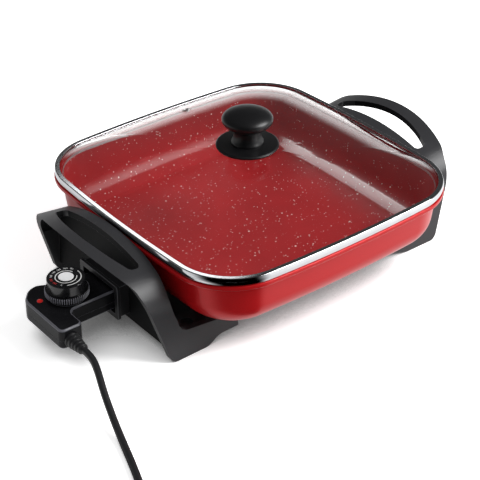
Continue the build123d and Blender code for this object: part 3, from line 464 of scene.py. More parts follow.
def new_group(name, inputs, outputs):
    """An empty shader group with float and colour sockets: its tree, what it is given and its end node."""
    tree = bpy.data.node_groups.new(name, "ShaderNodeTree")
    colours = ("First", "Second", "Ground", "Fleck", "Color")
    for way, labels in (("INPUT", inputs), ("OUTPUT", outputs)):
        for label in labels:
            kind = "NodeSocketColor" if label in colours else "NodeSocketFloat"
            tree.interface.new_socket(label, in_out=way, socket_type=kind)
    return tree, tree.nodes.new("NodeGroupInput").outputs, tree.nodes.new("NodeGroupOutput")


def moulded_grain(name):
    """Fine grain as height, and handling marks as roughness round a middle value."""
    tree, given, made = new_group(
        name, ("Grain Scale", "Mark Scale", "Roughness", "Spread"), ("Roughness", "Height")
    )
    marks = noise_node(given["Mark Scale"], 4.0)
    rough = spread_about(marks, given["Roughness"], given["Spread"])
    fill(made, Roughness=rough, Height=noise_node(given["Grain Scale"], 2.0))
    return tree


def drawn_lines(name):
    """Fine lines drawn along one axis, as height, and as roughness round a middle value."""
    tree, given, made = new_group(name, ("Scale", "Roughness", "Spread"), ("Roughness", "Height"))
    lines = noise_node(given["Scale"], 4.0, stretch=(0.04, 1.0, 1.0))
    fill(made, Roughness=spread_about(lines, given["Roughness"], given["Spread"]), Height=lines)
    return tree


def two_tone(name):
    """A colour that drifts between two tones in soft clouds."""
    tree, given, made = new_group(name, ("First", "Second", "Scale", "Contrast"), ("Color",))
    share = spread_about(noise_node(given["Scale"], 5.0), 0.5, given["Contrast"])
    fill(made, Color=blend(share, given["First"], given["Second"]))
    return tree


def flecked(name):
    """Flecks of mixed size in a ground colour: a share of Voronoi cells hold one round their middle."""
    least, sharpness = 0.35, 18.0
    tree, given, made = new_group(name, ("Ground", "Fleck", "Scale", "Share", "Size"), ("Color", "Mask"))
    place = add(tree, "TexCoord").outputs["Object"]
    cells = add(tree, "TexVoronoi", Vector=place, Scale=given["Scale"]).outputs
    parts = add(tree, "SeparateColor", Color=cells["Color"]).outputs
    chosen = math_node("LESS_THAN", parts["Red"], given["Share"])
    size = times(plus(parts["Green"], least), given["Size"])
    mask = times(times(less(size, cells["Distance"]), sharpness, clamp=True), chosen)
    fill(made, Color=blend(mask, given["Ground"], given["Fleck"]), Mask=mask)
    return tree


def placed(tree, build, **values):
    """Outputs of a group that is built on its first use, with its inputs fed by name."""
    name = build.__name__.replace("_", " ")
    node = add(tree, "Group")
    node.node_tree = bpy.data.node_groups.get(name) or build(name)
    fill(node, **values)
    return node.outputs


# Finishes

def shade(colour, by):
    """A colour made lighter or darker."""
    return tuple(min(1, by * part) for part in colour)


def blank_finish(name, **values):
    """A new material with one Principled shader, inputs set by name: the material, its tree and the shader."""
    material = bpy.data.materials.new(name)
    material.use_nodes = True
    tree = material.node_tree
    tree.nodes.clear()
    shader = add(tree, "BsdfPrincipled", **values)
    add(tree, "OutputMaterial", Surface=shader.outputs["BSDF"])
    return material, tree, shader


def clear_where(share, surface, colour=(1.0, 1.0, 1.0)):
    """Let a surface be clear by a share, and give the mix to the material's output."""
    tree = share.id_data
    clear = add(tree, "BsdfTransparent", Color=colour).outputs["BSDF"]
    mix = add(tree, "MixShader", share, surface, clear)
    output = next(node for node in tree.nodes if node.type == "OUTPUT_MATERIAL")
    fill(output, Surface=mix.outputs["Shader"])


def toned(tree, colour, lift, scale, contrast):
    """A colour that drifts to a lighter or darker tone of itself."""
    second = shade(colour, lift)
    return placed(tree, two_tone, First=colour, Second=second, Scale=scale, Contrast=contrast)["Color"]


def grained(shader, build, bump, depth, **values):
    """Roughness from a group of grain or lines, and a bump from its height where one is given."""
    grains = placed(shader.id_data, build, **values)
    fill(shader, Roughness=grains["Roughness"])
    if bump:
        raised = add(shader.id_data, "Bump", Strength=bump, Distance=depth, Height=grains["Height"])
        fill(shader, Normal=raised.outputs["Normal"])


def moulding(
    name, colour, roughness, spread=0.05, grain=1400.0, bump=0.12, coat=0.0, lift=1.5, metal=0.0, gloss=0.4
):
    """A moulded, cast or plated finish: two close tones, grain and handling marks."""
    if name in bpy.data.materials:
        return bpy.data.materials[name]
    material, tree, shader = blank_finish(
        name, Metallic=metal, Specular_IOR_Level=gloss, Coat_Weight=coat, Coat_Roughness=0.08
    )
    fill(shader, Base_Color=toned(tree, colour, lift, scale=38.0, contrast=0.6))
    grained(
        shader, moulded_grain, bump, 0.0002,
        Grain_Scale=grain, Mark_Scale=26.0, Roughness=roughness, Spread=spread,
    )
    return material


def drawn_metal(name, colour, roughness, spread=0.08, scale=900.0):
    """A drawn or brushed metal."""
    if name in bpy.data.materials:
        return bpy.data.materials[name]
    material, tree, shader = blank_finish(name, Metallic=1.0)
    fill(shader, Base_Color=toned(tree, colour, 0.82, scale=60.0, contrast=0.7))
    grained(shader, drawn_lines, 0.05, 0.0001, Scale=scale, Roughness=roughness, Spread=spread)
    return material


def plated_steel():
    """Finish of screws, pins and other small steel parts."""
    return drawn_metal("plated steel", (0.60, 0.60, 0.58), 0.3)


def cord_rubber():
    """Finish of the cord's sheath and its strain relief."""
    return moulding("cord black", bpy.context.scene.skillet_cord.colour, 0.34, spread=0.06, bump=0.08)


def enamel_finish():
    """Glossy red enamel with a faint flake under a clear coat."""
    enamel = bpy.context.scene.skillet_pan.enamel
    material, tree, shader = blank_finish(
        "red enamel", Metallic=0.25, Specular_IOR_Level=0.14, Coat_Weight=0.2, Coat_Roughness=0.07
    )
    flakes = placed(
        tree, flecked, Ground=enamel, Fleck=shade(enamel, 1.35), Scale=2600.0, Share=0.35, Size=0.35
    )
    fill(shader, Base_Color=flakes["Color"])
    grained(
        shader, moulded_grain, 0.04, 0.0003,
        Grain_Scale=260.0, Mark_Scale=14.0, Roughness=0.30, Spread=0.06,
    )
    return material


def lining_finish():
    """Red non-stick lining with pale flecks of two sizes."""
    pan = bpy.context.scene.skillet_pan
    material, tree, shader = blank_finish(
        "flecked lining", Specular_IOR_Level=0.25, Coat_Weight=0.08, Coat_Roughness=0.15
    )
    ground = toned(tree, pan.lining, 1.5, scale=16.0, contrast=0.7)
    for scale, share, size in ((420.0, 0.30, 0.20), (150.0, 0.40, 0.12)):
        flecks = placed(tree, flecked, Ground=ground, Fleck=pan.fleck, Scale=scale, Share=share, Size=size)
        ground = flecks["Color"]
    fill(shader, Base_Color=ground)
    grained(
        shader, moulded_grain, 0.08, 0.0003,
        Grain_Scale=700.0, Mark_Scale=18.0, Roughness=0.34, Spread=0.07,
    )
    return material


def glass_finish():
    """Clear toughened glass with faint wiping marks. Light for shadows passes straight through it."""
    material, tree, shader = blank_finish(
        "lid glass", Base_Color=(0.985, 0.995, 0.99), Transmission_Weight=1.0, IOR=1.47
    )
    grained(
        shader, moulded_grain, 0.0, 0.0,
        Grain_Scale=40.0, Mark_Scale=12.0, Roughness=0.012, Spread=0.012,
    )
    path = add(tree, "LightPath").outputs
    through = larger(path["Is Shadow Ray"], path["Is Diffuse Ray"])
    clear_where(through, shader.outputs["BSDF"], (0.94, 0.95, 0.95))
    return material


def lens_finish(name, colour, glow):
    """A coloured lens with a soft glow and a clouded inside."""
    material, tree, shader = blank_finish(name, Emission_Strength=glow, Roughness=0.15, Coat_Weight=0.6)
    clouds = toned(tree, colour, 0.55, scale=900.0, contrast=0.8)
    fill(shader, Base_Color=clouds, Emission_Color=clouds)
    return material


def dress(material, *nodes):
    """Give CAD nodes a finish."""
    for node in nodes:
        mesh = frame["nodes"][node].data
        mesh.materials.clear()
        mesh.materials.append(material)


# Pieces

class SKILLET_OT_pan(Operator):
    """Enamel on the outside of the casting and the flecked lining inside it"""

    bl_idname = "skillet.pan"
    bl_label = "Pan"

    def execute(self, context):
        coat = context.scene.skillet_pan.coat / mm
        lean, foot = 7.0, 270
        draft, wall = math.tan(math.radians(lean)), 180 + lean
        bend, bend_out, bend_in = (36.40, 60.0), 28.0, 25.0
        top, flange = rim_height, 3.5
        shelf, lip, seam = top - flange, -1.0 - coat, 7.6
        wall_out, under, end, skin = 5.0 + flange * draft, 32.0, 41.0, 0.3
        outside = np.concatenate((
            rounded((
                (seam, top + coat), (lip, top + coat, 0.9), (lip, shelf - coat, 0.5),
                (wall_out - coat, shelf - coat, 0.1), (wall_out - coat + 2 * draft, shelf - 2.0),
            ), steps=8),
            arc(bend, bend_out + coat, wall, foot, 22),
            ((end, under - coat), (end, under + skin)),
            arc(bend, bend_out - skin, foot, wall, 22),
            ((wall_out + skin, shelf), (5.4, top - 0.5), (seam, top - 0.5)),
        ))
        shell = grid_shell(carried(outside), closed=True)
        put_piece("pan_enamel", shell, "skillet", "red_enamel", enamel_finish())
        # The lining's bend has one broad facet, and its floor draws in to the middle in shares of the outline.
        floor, floor_under, level_from = 35.0 + coat, 34.5, 50.0
        facet_from, facet_to = 254, 230
        edge, brim, wall_in, depth = 7.63, top + coat - 0.02, 8.0, 4.0
        shares = np.array((0.03, 0.2, 0.4, 0.6, 0.8))
        disc = np.stack((np.full(5, level_from), np.full(5, floor), shares), -1)
        inside = np.concatenate((
            ((level_from, floor),),
            arc(bend, bend_in - coat, foot, facet_from, 4),
            arc(bend, bend_in - coat, facet_to, wall, 10),
            rounded((
                (wall_in + depth * draft, top - depth), (wall_in + 0.02 - coat, brim, 0.3), (edge, brim),
            ), steps=4),
            ((edge, top - 0.4), (wall_in + 0.6 + depth * draft, top - depth - 0.4)),
            arc(bend, bend_in + 0.5, wall, foot, 14),
            ((level_from, floor_under),),
        ))
        inside = np.column_stack((inside, np.ones(len(inside))))
        below = disc[::-1] * (1, 0, 1) + (0, floor_under, 0)
        shell = grid_shell(
            carried(np.concatenate((disc, inside, below))), poles=at(((0, 0, floor), (0, 0, floor_under)))
        )
        put_piece("pan_lining", shell, "skillet", "red_enamel", lining_finish())
        casting = moulding(
            "cast aluminium", (0.42, 0.42, 0.43), 0.5, grain=900.0, bump=0.3, lift=1.2, metal=1.0
        )
        dress(casting, "pan")
        return {"FINISHED"}


class SKILLET_OT_element(Operator):
    """Finishes of the heating element, its terminals and the screws under the pan"""

    bl_idname = "skillet.element"
    bl_label = "Element and screws"

    def execute(self, context):
        dress(moulding("element steel", (0.20, 0.19, 0.18), 0.45, bump=0.2, metal=1.0), "heating_element")
        dress(moulding("ceramic", (0.72, 0.69, 0.62), 0.35, lift=1.1), "terminal_bushes")
        dress(plated_steel(), "terminal_pins", "leg_screws", "guard_screws")
        return {"FINISHED"}


def in_hollow(mesh):
    """True for a handle's faces that look into the hollow under the grip, or into its finger slot, which are
    painted darker as painted shade.

    Round the hollow a face looks towards its axis, the apron looks outwards, and the slot's walls stand.
    """
    apron, slot_reach, slot_half = lid_half + 8.0, 32.0, 62.0
    little, nearly_all = 0.3, 0.9
    normal = rows_of(mesh.polygons, "normal")
    centre = rows_of(mesh.polygons, "center") / mm - (pan_x, 0, 0)
    reach, outward = np.abs(centre[:, 0]), normal[:, 0] * np.sign(centre[:, 0])
    off_axis = centre[:, 1:] - (0.0, rim_height / 2)
    towards = -(off_axis * normal[:, 1:]).sum(-1) / np.linalg.norm(off_axis, axis=-1)
    under = (reach > apron) & (np.abs(outward) < little) & (towards > little)
    wall = (np.abs(reach - apron) < 0.5) & (outward > nearly_all)
    slot = (reach > apron) & (reach < apron + slot_reach) & (np.abs(centre[:, 1]) < slot_half)
    slot &= (centre[:, 2] > rim_height) & (np.abs(normal[:, 2]) < little)
    return under | wall | slot


class SKILLET_OT_handles(Operator):
    """Handle and leg mouldings and the socket guard, with rounded edges"""

    bl_idname = "skillet.handles"
    bl_label = "Handles and guard"

    def execute(self, context):
        handle = context.scene.skillet_handle
        phenolic = moulding("phenolic black", handle.colour, 0.40, spread=0.06, bump=0.16, lift=1.35)
        # The handles' rounded edges are painted lighter, a painted highlight.
        painted_edge_highlight = moulding("phenolic edge", shade(handle.colour, 1.9), 0.33, bump=0.1)
        # Faces in the hollow under the grip and in the finger slot are painted darker: painted shade.
        painted_shade = moulding("phenolic inside", shade(handle.colour, 0.25), 0.6, bump=0.2, gloss=0.1)
        for node in ("right_handle", "left_handle"):
            piece = edged_copy(node, node + "_moulding", handle.edge, phenolic, painted_edge_highlight)
            paint(piece.data, painted_shade, in_hollow(piece.data))
        guard = moulding("guard black", shade(handle.colour, 0.6), 0.36)
        # The guard's rounded edges are painted lighter, a painted highlight.
        painted_highlight = moulding("guard edge", shade(handle.colour, 6.0), 0.3, bump=0.08)
        edged_copy("socket_guard", "socket_guard_moulding", 0.6 * mm, guard, painted_highlight)
        return {"FINISHED"}


class SKILLET_OT_lid(Operator):
    """Glass, steel band and steam vent of the lid"""

    bl_idname = "skillet.lid"
    bl_label = "Lid"

    def execute(self, context):
        lid = context.scene.skillet_lid
        low, high = levels("lid_rim")
        chrome = drawn_metal("rim chrome", lid.chrome, 0.10, spread=0.05, scale=500.0)
        crown, fold, sheet, hem = -lid.crown / mm, 4.5, 1.0, 0.45
        ledge = low + 1.5
        band = rounded((
            (fold, high, hem), (0.0, high, 0.9), (crown, (low + high) / 2, 7.0), (0.0, low, hem),
            (sheet, low, 0.4), (sheet, ledge), (fold, ledge, hem), (fold, ledge + sheet, hem),
            (sheet, ledge + sheet, 0.2), (sheet, high - sheet, 0.2), (fold, high - sheet, hem),
        ), closed=True)
        shell = grid_shell(carried(band), closed=True)
        put_piece("lid_band", shell, "lid", "rim_chrome", chrome, "lid_rim", sharp=50.0)
        dress(glass_finish(), "lid_glass")
        hole, barrel, flange, depth = 2.2, 2.9, 4.6, -4.9
        eyelet = rounded((
            (hole, depth, 0.2), (hole, 0.9, 0.4), (flange, 0.5, 0.3), (flange, 0.05, 0.1), (barrel, 0.05),
            (barrel, depth, 0.2),
        ), closed=True)
        vent, lean = (10.5, 110.03, 108.42), (0, 0.3253, 1)
        shell = grid_shell(revolved(eyelet, vent, lean, columns=48), closed=True)
        satin = drawn_metal("vent steel", (0.78, 0.78, 0.77), 0.38)
        put_piece("vent_ring", shell, "lid", "rim_chrome", satin, "vent_eyelet")
        return {"FINISHED"}


class SKILLET_OT_lid_knob(Operator):
    """Waisted knob on its base disc, with the screw, washer and gasket below"""

    bl_idname = "skillet.lid_knob"
    bl_label = "Lid knob"

    def execute(self, context):
        satin = moulding("knob black", context.scene.skillet_lid.knob, 0.36, bump=0.05, lift=1.6)
        low, foot = levels("knob_base")
        peak = levels("lid_knob")[1]
        neck, waist, shoulder, head = 15.4, 12.6, 14.2, 24.0
        disc = rounded((
            (0, low), (29.3, low, 0.5), (30.0, low + 1.6, 0.8), (28.4, low + 2.7, 1.2), (neck, foot, 1.0),
            (0, foot),
        ), steps=8)
        put_piece("knob_disc", turned(disc), "lid", "knob_black", satin, "knob_base")
        dome, under_bend = 9.0, 6.3
        widest, under, start = peak - dome, peak - dome - under_bend, foot + 1.2
        rise = np.linspace(start, under, 20)
        bow = np.polyfit((start, (foot + under) / 2, under), (neck, waist, shoulder), 2)
        knob = np.concatenate((
            rounded(((0, foot), (neck, foot, 0.4), (neck, foot + 1.0))),
            np.stack((np.polyval(bow, rise), rise), -1),
            arc((head - under_bend, widest), under_bend, -90, 0, 14),
            climbing(head, dome, widest, 89, 22)[1:],
            ((0, peak),),
        ))
        put_piece("knob_head", turned(knob), "lid", "knob_black", satin, "lid_knob", weighted=False)
        dress(plated_steel(), "knob_screw", "knob_washer")
        dress(moulding("seal rubber", (0.05, 0.05, 0.05), 0.6), "knob_gasket")
        return {"FINISHED"}


class SKILLET_OT_control(Operator):
    """Housing of the plug-in control, its pilot lens, strain relief and inner parts"""

    bl_idname = "skillet.control"
    bl_label = "Control"

    def execute(self, context):
        control = context.scene.skillet_control
        black = moulding("control black", control.housing, 0.17, bump=0.05, lift=1.6, gloss=0.14)
        painted_highlight = moulding("control edge", shade(control.housing, 14.0), 0.14, spread=0.04, bump=0.04)
        # The housing's rounded edges and leaning fillets are painted lighter, a painted highlight.
        for node in ("housing_top", "housing_base"):
            edged_copy(
                node, node + "_shell", 0.3 * mm, black, painted_highlight, segments=2, lean_from=0.3
            )
        low, high = levels("pilot_lens")
        radius, flange, step = 2.6, 3.6, 1.0
        lens = np.concatenate((
            rounded(((0, low), (flange, low, 0.2), (flange, low + step, 0.2), (radius, low + step))),
            climbing(radius, step, high - step, 86, 12),
            ((0, high),),
        ))
        glow = lens_finish("pilot red", control.lamp, 0.35)
        shell = turned(lens, (*middle_of("pilot_lens")[:2], 0), columns=48)
        put_piece("pilot_dome", shell, "control", "lamp_red", glow, "pilot_lens")
        # The strain relief's plug lies in the housing's wall, and its ribs get smaller along the cord.
        wall, plug, neck, back, end = -43.0, 5.0, 3.8, -4.0, 20.0
        largest, taper, pitch, groove = 7.2, 2.2, 4.0, 1.1
        ribs = [(0, back), (plug, back, 0.3), (plug, -2.0, 0.2), (neck, -2.0), (neck, 0.0)]
        for rib in range(5):
            radius, start = largest - taper * rib / 4, pitch * rib
            ribs += [
                (radius, start, 0.5), (radius, start + 2.4, 0.6),
                (radius - groove, start + 2.5, 0.2), (radius - groove, start + pitch, 0.2),
            ]
        ribs[-1:] = [(3.9, end, 0.5), (0, end)]
        shell = turned(rounded(ribs, steps=5), (relief_x, wall, relief_z), (0, -1, 0), columns=64)
        put_piece("relief_sleeve", shell, "control", "cord_black", cord_rubber(), "strain_relief")
        dress(lens_finish("lamp glass", (0.75, 0.30, 0.16), 0.2), "neon_lamp")
        dress(moulding("insulation", (0.42, 0.33, 0.22), 0.55), "contact_block", "blade_stack")
        dress(drawn_metal("contact brass", (0.70, 0.50, 0.22), 0.25), "contact_sleeves")
        dress(plated_steel(), "housing_screws", "probe_tube", "thermostat_frame", "bimetal_blade")
        return {"FINISHED"}


def ring_arc(inner, outer, start, end, low, high):
    """A thin printed arc: its four edges go round the dial's axis from one angle to another, with closed ends."""
    steps = max(8, int(abs(end - start) / 3))
    angle = np.radians(np.linspace(start, end, steps))[:, None]
    radius = np.array((inner, outer, outer, inner))
    height = np.broadcast_to((high, high, low, low), (steps, 4))
    grid = np.stack((dial_x + radius * np.cos(angle), radius * np.sin(angle), height), -1)
    ends = [[4 * row + edge for edge in range(4)] for row in (0, steps - 1)]
    return at(grid.reshape(-1, 3)), grid_faces(steps, 4, closed=False) + ends


def printed(marks, name, material, level, rings=()):
    """Words on the dial as one thin mesh, with rings added as they come.

    The middle of each word stands at its angle about the dial's axis, with its foot towards the axis.
    """
    radius, size, thickness = 13.2, 2.9, 0.04
    shells = []
    for text, angle in marks.items():
        letters = bpy.data.curves.new("letters", "FONT")
        letters.body, letters.size = text, size * mm
        letters.align_x, letters.align_y = "CENTER", "CENTER"
        letters.extrude = thickness * mm
        carrier = linked("letters", letters)
        bpy.context.view_layer.update()
        shape = carrier.evaluated_get(bpy.context.evaluated_depsgraph_get())
        mesh = bpy.data.meshes.new_from_object(shape)
        turn = math.radians(angle)
        place = at((dial_x + radius * math.cos(turn), radius * math.sin(turn), level))
        mesh.transform(Matrix.Translation(place) @ Matrix.Rotation(turn - math.pi / 2, 4, "Z"))
        shells.append((rows_of(mesh.vertices, "co"), corners_of(mesh)))
        bpy.data.objects.remove(carrier)
        bpy.data.curves.remove(letters)
        bpy.data.meshes.remove(mesh)
    points, faces, first = [], [], 0
    for spots, corners in (*shells, *rings):
        points.append(spots)
        faces += [[first + corner for corner in face] for face in corners]
        first += len(spots)
    put_piece(name, (np.concatenate(points), faces), "dial", "dial_disc", material, weighted=False)


class SKILLET_OT_dial(Operator):
    """Knurled dial with its print and bright cap"""

    bl_idname = "skillet.dial"
    bl_label = "Dial"

    def execute(self, context):
        control = context.scene.skillet_control
        low, high = levels("dial_knob")
        skirt, well = low + 6.0, high - 0.6
        gloss = moulding("dial black", control.housing, 0.2, bump=0.05, coat=0.4, lift=1.6)
        profile = rounded((
            (0, low), (18.9, low, 0.4), (19.9, low + 0.7, 0.3), (19.95, skirt - 0.7, 0.3), (19.2, skirt, 0.3),
            (17.0, skirt + 0.05, 0.2), (17.0, skirt + 0.8, 0.2), (17.4, skirt + 1.1, 0.2), (17.4, high, 0.8),
            (8.5, high, 0.15), (8.5, well, 0.1), (0, well),
        ))
        rows, columns = profile[1:-1], 8 * control.knurls
        angle = np.linspace(0, 2 * np.pi, columns, endpoint=False)
        wave = (0.5 - 0.5 * np.cos(control.knurls * angle)) ** 0.7
        on_skirt = (rows[:, 0] > 19.0) & (rows[:, 1] < skirt)
        ripple = control.knurl_depth / mm * on_skirt[:, None] * wave[None, :]
        spot = (dial_x, 0, 0)
        shell = turned(profile, spot, columns=columns, ripple=ripple)
        body = put_piece("dial_body", shell, "dial", "dial_black", gloss, "dial_knob", sharp=50.0)
        # The crests of the knurls are painted lighter, a painted highlight.
        painted_highlight = moulding("dial edge", shade(control.housing, 30.0), 0.2, spread=0.04, bump=0.04)
        paint(body.data, painted_highlight, on_skirt[:-1, None] & on_skirt[1:, None] & (wave < 0.5))
        # The cap's middle is bright, and its brim outside a groove is black.
        cap_low, cap_high = levels("dial_cap")
        brim, bright_to, columns = cap_high - 0.1, 6.9, 96
        cap = rounded((
            (0, cap_low), (8.4, cap_low, 0.1), (8.4, brim, 0.3), (7.4, brim, 0.1), (7.25, brim - 0.3, 0.1),
            (6.95, brim - 0.3, 0.1), (6.8, cap_high, 0.2), (0, cap_high),
        ), steps=5)
        bright = moulding("dial cap", (0.92, 0.92, 0.93), 0.32, spread=0.04, bump=0.04, lift=1.04, gloss=0.6)
        shell = turned(cap, spot, columns=columns)
        disc = put_piece("dial_disc_cap", shell, "dial", "dial_disc", bright, "dial_cap")
        outside = cap[1:-1, 0] > bright_to
        paint(disc.data, gloss, np.repeat(outside[:-1] & outside[1:], columns))
        white = moulding("dial print", control.marks, 0.5, lift=1.1)
        hot = moulding("dial print hot", control.hot_marks, 0.5, lift=1.2)
        face, top = high - 0.05, high + 0.03
        rings = ring_arc(9.1, 9.9, 20, 335, face, top), ring_arc(12.9, 13.8, -118, 8, face, top)
        marks = {"0": 221, "80": 35, "100": 61, "120": 87, "140": 113, "160": 139}
        printed(marks, "dial_marks", white, high, rings)
        printed({"180": 165, "200": 191}, "dial_hot_marks", hot, high)
        dress(plated_steel(), "dial_shaft")
        return {"FINISHED"}


class SKILLET_OT_cord(Operator):
    """Mains cord from the strain relief over the worktop to its coil, tie and plug"""

    bl_idname = "skillet.cord"
    bl_label = "Cord and plug"

    def execute(self, context):
        cord = context.scene.skillet_cord
        exit_spot = np.array((relief_x, -63.0, relief_z))
        lead = np.array((
            (0.0, 0.0, 27.0), (0.0, -12.0, 27.0), (-5.2, -28.5, 25.0), (-11.6, -45.5, 18.4), (-16.9, -63.0, 11.4),
            (-22.2, -81.0, 6.0), (-28.0, -100.0, 3.4), (-36.5, -125.0, 3.3), (-48.8, -157.5, 3.3),
            (-60.2, -190.0, 4.1), (-70.6, -223.4, 4.1),
        )) + exit_spot * (1, 1, 0)
        # The coil goes in along the worktop for two turns, climbs for half a turn and comes out above.
        outer, pitch, layer, turns_in, climb = 40.5, 7.2, 7.2, 2.0, 0.5
        straight = cord.diameter / mm
        way = lead[-1] - lead[-2]
        way /= np.linalg.norm(way)
        inward = math.degrees(math.atan2(pitch / (2 * math.pi), outer))
        begin = math.degrees(math.atan2(way[1], way[0])) - 90 - inward
        turns = 2 * turns_in + climb
        turns -= ((begin + 360 * turns + 90 - inward) % 360) / 360
        spoke = math.radians(begin)
        middle = lead[-1] + way * straight - outer * np.array((math.cos(spoke), math.sin(spoke), 0))
        per_turn = 16
        turn = np.linspace(0, turns, int(per_turn * turns) + 1)
        climbed = np.clip((turn - turns_in) / climb, 0, 1)
        radius = outer - pitch * np.minimum(turn, turns_in) - pitch * climb * climbed * (1 - climbed)
        radius = radius + pitch * np.maximum(turn - turns_in - climb, 0)
        radius[1:-1] /= math.cos(math.pi / per_turn)
        angle = np.radians(begin + 360 * turn)
        lift = layer * climbed**2 * (3 - 2 * climbed)
        coil = middle + np.stack((radius * np.cos(angle), radius * np.sin(angle), lift), -1)
        # The tail comes down to the plug's level.
        plug_level, tail_length = 9.5, 26.0
        end = coil[-1] + (straight, 0, 0)
        shares = np.array(((0, 0, 0), (1 / 3, 0, 0), (2 / 3, 0, 1), (1, 0, 1)))
        tail = end + shares * (tail_length, 0, plug_level - end[2])
        route = at(np.concatenate((lead, coil, tail)))
        line = bpy.data.curves.new("mains_cord", "CURVE")
        line.dimensions = "3D"
        spline = line.splines.new("NURBS")
        spline.points.add(len(route) - 1)
        spline.points.foreach_set("co", np.column_stack((route, np.ones(len(route)))).ravel())
        spline.order_u = 3
        spline.use_endpoint_u = True
        spline.resolution_u = line.resolution_u = 8
        line.bevel_depth = cord.diameter / 2
        line.bevel_resolution = 5
        line.use_fill_caps = True
        line.materials.append(cord_rubber())
        piece = linked("mains_cord", line)
        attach(piece, "control")
        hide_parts("cord_lead", "cord_coil", "cord_tail")
        dress(moulding("tie black", (0.02, 0.02, 0.02), 0.5), "cord_tie")
        dress(moulding("plug black", cord.colour, 0.38, bump=0.1), "plug_body")
        dress(drawn_metal("pin brass", (0.72, 0.60, 0.34), 0.25), "plug_pins")
        return {"FINISHED"}


# Stage

def dark_side(way):
    """1 for a way into the room, falling off to 0 towards its dark side, which lies behind the camera."""
    return eased(vector_node("DOT_PRODUCT", way, (-0.66, -0.75, 0.0)), 0.40, 0.80, 1.0, 0.0)


def studio_strength(tree, sky, ceiling):
    """Strength of the studio: a plain sky for scattered light, and white to the camera, also through the glass.

    A mirror or the face of the glass sees the white backdrop fall off to a dim ceiling, and to the dark side.
    """
    path = add(tree, "LightPath").outputs
    way = add(tree, "TexCoord").outputs["Generated"]
    height = add(tree, "SeparateXYZ", Vector=way).outputs["Z"]
    lit = times(eased(height, 0.04, 0.19, 1.0, ceiling), dark_side(way))
    shiny = times(lit, larger(path["Is Glossy Ray"], path["Is Transmission Ray"]))
    through = times(path["Is Transmission Ray"], math_node("LESS_THAN", path["Glossy Depth"], 0.5))
    plain = larger(through, path["Is Camera Ray"])
    return larger(larger(shiny, plain), times(path["Is Diffuse Ray"], sky))


def floor_finish(colour):
    """Matt pale floor that keeps shadows, and is clear from below.

    The camera sees it brighter, with a painted contact shadow that dims it close to the object, and white further
    off.
    Mirrors see a painted dark reflection: it falls off towards the side behind the camera from the near corner of
    the pan.
    """
    near_corner, reach, samples = (-0.06, -0.14, 0.0), 0.10, 12
    camera_gain, mirror_lift = 0.5, 0.12
    material, tree, shader = blank_finish("floor", Roughness=1.0, Specular_IOR_Level=0.0)
    path = add(tree, "LightPath").outputs
    mirrored = path["Is Glossy Ray"]
    direct = larger(path["Is Camera Ray"], path["Is Transmission Ray"])
    spot = add(tree, "TexCoord").outputs["Object"]
    # In mirrors the floor is painted darker towards the side behind the camera: a painted dark reflection.
    light = dark_side(vector_node("NORMALIZE", vector_node("SUBTRACT", spot, near_corner)))
    # Ambient occlusion paints a contact shadow round the object, seen by the camera.
    cover = add(tree, "AmbientOcclusion", Distance=reach)
    cover.samples = samples
    dim = larger(eased(cover.outputs["AO"], 0.05, 0.55, 0.15, 1.0), less(1.0, direct))
    shown = times(larger(light, less(1.0, mirrored)), dim)
    gain = plus(times(direct, camera_gain), 1.0)
    fill(shader, Base_Color=blend(times(shown, gain), (0.0, 0.0, 0.0), colour))
    far = eased(vector_node("LENGTH", spot), 0.5, 1.2, 0.35, 1.0)
    lift = plus(times(mirrored, mirror_lift), times(direct, far))
    glow = add(tree, "Emission", Strength=times(lift, shown))
    both = add(tree, "AddShader", shader.outputs["BSDF"], glow.outputs["Emission"])
    clear_where(add(tree, "NewGeometry").outputs["Backfacing"], both.outputs["Shader"])
    return material


def put_lamp(name, power, size, place, aim, only):
    """A softbox that the camera doesn't see. Where it lights one piece only, it is seen in that piece alone."""
    lamp = bpy.data.lights.new(name, "AREA")
    lamp.shape = "RECTANGLE"
    lamp.size, lamp.size_y = size
    lamp.energy = power
    light = linked(name, lamp)
    light.location = place
    light.rotation_euler = (Vector(place) - Vector(aim)).to_track_quat("Z", "Y").to_euler()
    light.visible_glossy = name != "overhead"
    light.visible_transmission = light.visible_camera = False
    if only:
        light.visible_diffuse = False
        light.light_linking.receiver_collection = bpy.data.collections.new("lit by " + name)
        light.light_linking.receiver_collection.objects.link(bpy.data.objects[only])


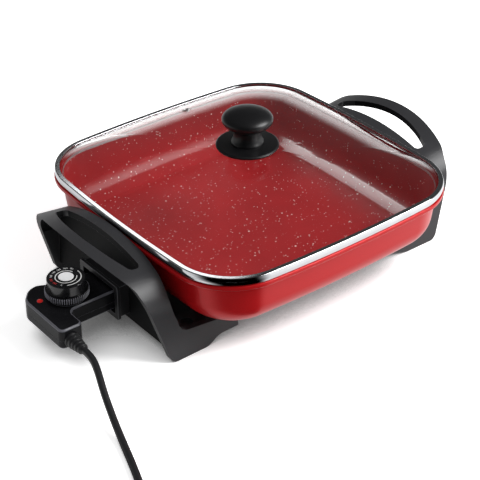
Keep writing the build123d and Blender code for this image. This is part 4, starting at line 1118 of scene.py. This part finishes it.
class SKILLET_OT_stage(Operator):
    """Pale floor, soft light and the camera"""

    bl_idname = "skillet.stage"
    bl_label = "Stage"

    def execute(self, context):
        scene, half = context.scene, 4.0
        stage = scene.skillet_stage
        mesh = bpy.data.meshes.new("floor")
        corners = ((-half, -half, 0), (half, -half, 0), (half, half, 0), (-half, half, 0))
        mesh.from_pydata(corners, [], [(0, 1, 2, 3)])
        mesh.materials.append(floor_finish(stage.floor))
        linked("floor", mesh)
        scene.world = bpy.data.worlds.new("studio")
        scene.world.use_nodes = True
        tree = scene.world.node_tree
        tree.nodes.clear()
        strength = studio_strength(tree, stage.sky, stage.ceiling)
        backdrop = add(tree, "Background", Color=(1.0, 1.0, 1.0), Strength=strength)
        add(tree, "OutputWorld", Surface=backdrop.outputs["Background"])
        # The last two lamps are seen in one piece only: the bend of the lining, and the left of the band's top.
        middle, band_left = (0, 0, 0.05), (0.465, 0.855)
        put_lamp("softbox", stage.key, (1.1, 1.1), (1.00, -1.07, 1.22), middle, None)
        put_lamp("overhead", stage.overhead, (1.4, 1.4), (-0.4, 0.6, 1.7), middle, None)
        put_lamp("rim_light", stage.rim, (0.6, 0.6), (-0.28, 1.35, 1.45), middle, "pan_lining")
        put_lamp("strip_light", stage.strip, (0.13, 0.45), (*band_left, 0.775), (*band_left, 0), "lid_band")
        # The camera looks at the middle of the band's top, from the photograph's side and height.
        turn, height, away = math.radians(-38.651), math.radians(30.078), 1.3545
        target = Vector(at((0, 0, rim_high[2])))
        back = Vector((math.sin(turn) * math.cos(height), -math.cos(turn) * math.cos(height), math.sin(height)))
        right = Vector((math.cos(turn), math.sin(turn), 0))
        facing = Matrix((right, back.cross(right), back)).transposed().to_4x4()
        lens = bpy.data.cameras.new("camera")
        lens.lens = 107.825
        lens.sensor_width = 36.0
        lens.shift_x, lens.shift_y = -0.01544, -0.14754
        camera = linked("camera", lens)
        camera.matrix_world = Matrix.Translation(target + back * away) @ facing
        scene.camera = camera
        scene.view_settings.view_transform = "Standard"
        return {"FINISHED"}


settings = (
    ("skillet_pan", PanSettings, "Pan"),
    ("skillet_handle", HandleSettings, "Handles"),
    ("skillet_lid", LidSettings, "Lid"),
    ("skillet_control", ControlSettings, "Control"),
    ("skillet_cord", CordSettings, "Cord"),
    ("skillet_stage", StageSettings, "Stage"),
)
# The stage comes last, because two of its lamps look up the pieces that they light.
operators = (
    SKILLET_OT_cord, SKILLET_OT_pan, SKILLET_OT_element, SKILLET_OT_handles, SKILLET_OT_lid,
    SKILLET_OT_lid_knob, SKILLET_OT_control, SKILLET_OT_dial, SKILLET_OT_stage,
)


class SKILLET_PT_panel(Panel):
    """Settings and steps of the skillet"""

    bl_label = "Electric skillet"
    bl_idname = "SKILLET_PT_panel"
    bl_space_type = "VIEW_3D"
    bl_region_type = "UI"
    bl_category = "Skillet"

    def draw(self, context):
        for name, group, label in settings:
            box = self.layout.box()
            box.label(text=label)
            for field in group.__annotations__:
                box.prop(getattr(context.scene, name), field)
        for operator in operators:
            self.layout.operator(operator.bl_idname)


def register():
    for name, group, label in settings:
        bpy.utils.register_class(group)
        setattr(bpy.types.Scene, name, PointerProperty(type=group))
    for kind in (*operators, SKILLET_PT_panel):
        bpy.utils.register_class(kind)


def unregister():
    for kind in (SKILLET_PT_panel, *reversed(operators)):
        bpy.utils.unregister_class(kind)
    for name, group, label in reversed(settings):
        delattr(bpy.types.Scene, name)
        bpy.utils.unregister_class(group)


def main():
    """Make every piece in order."""
    register()
    for operator in operators:
        group, name = operator.bl_idname.split(".")
        getattr(getattr(bpy.ops, group), name)()


if __name__ == "__main__":
    main()
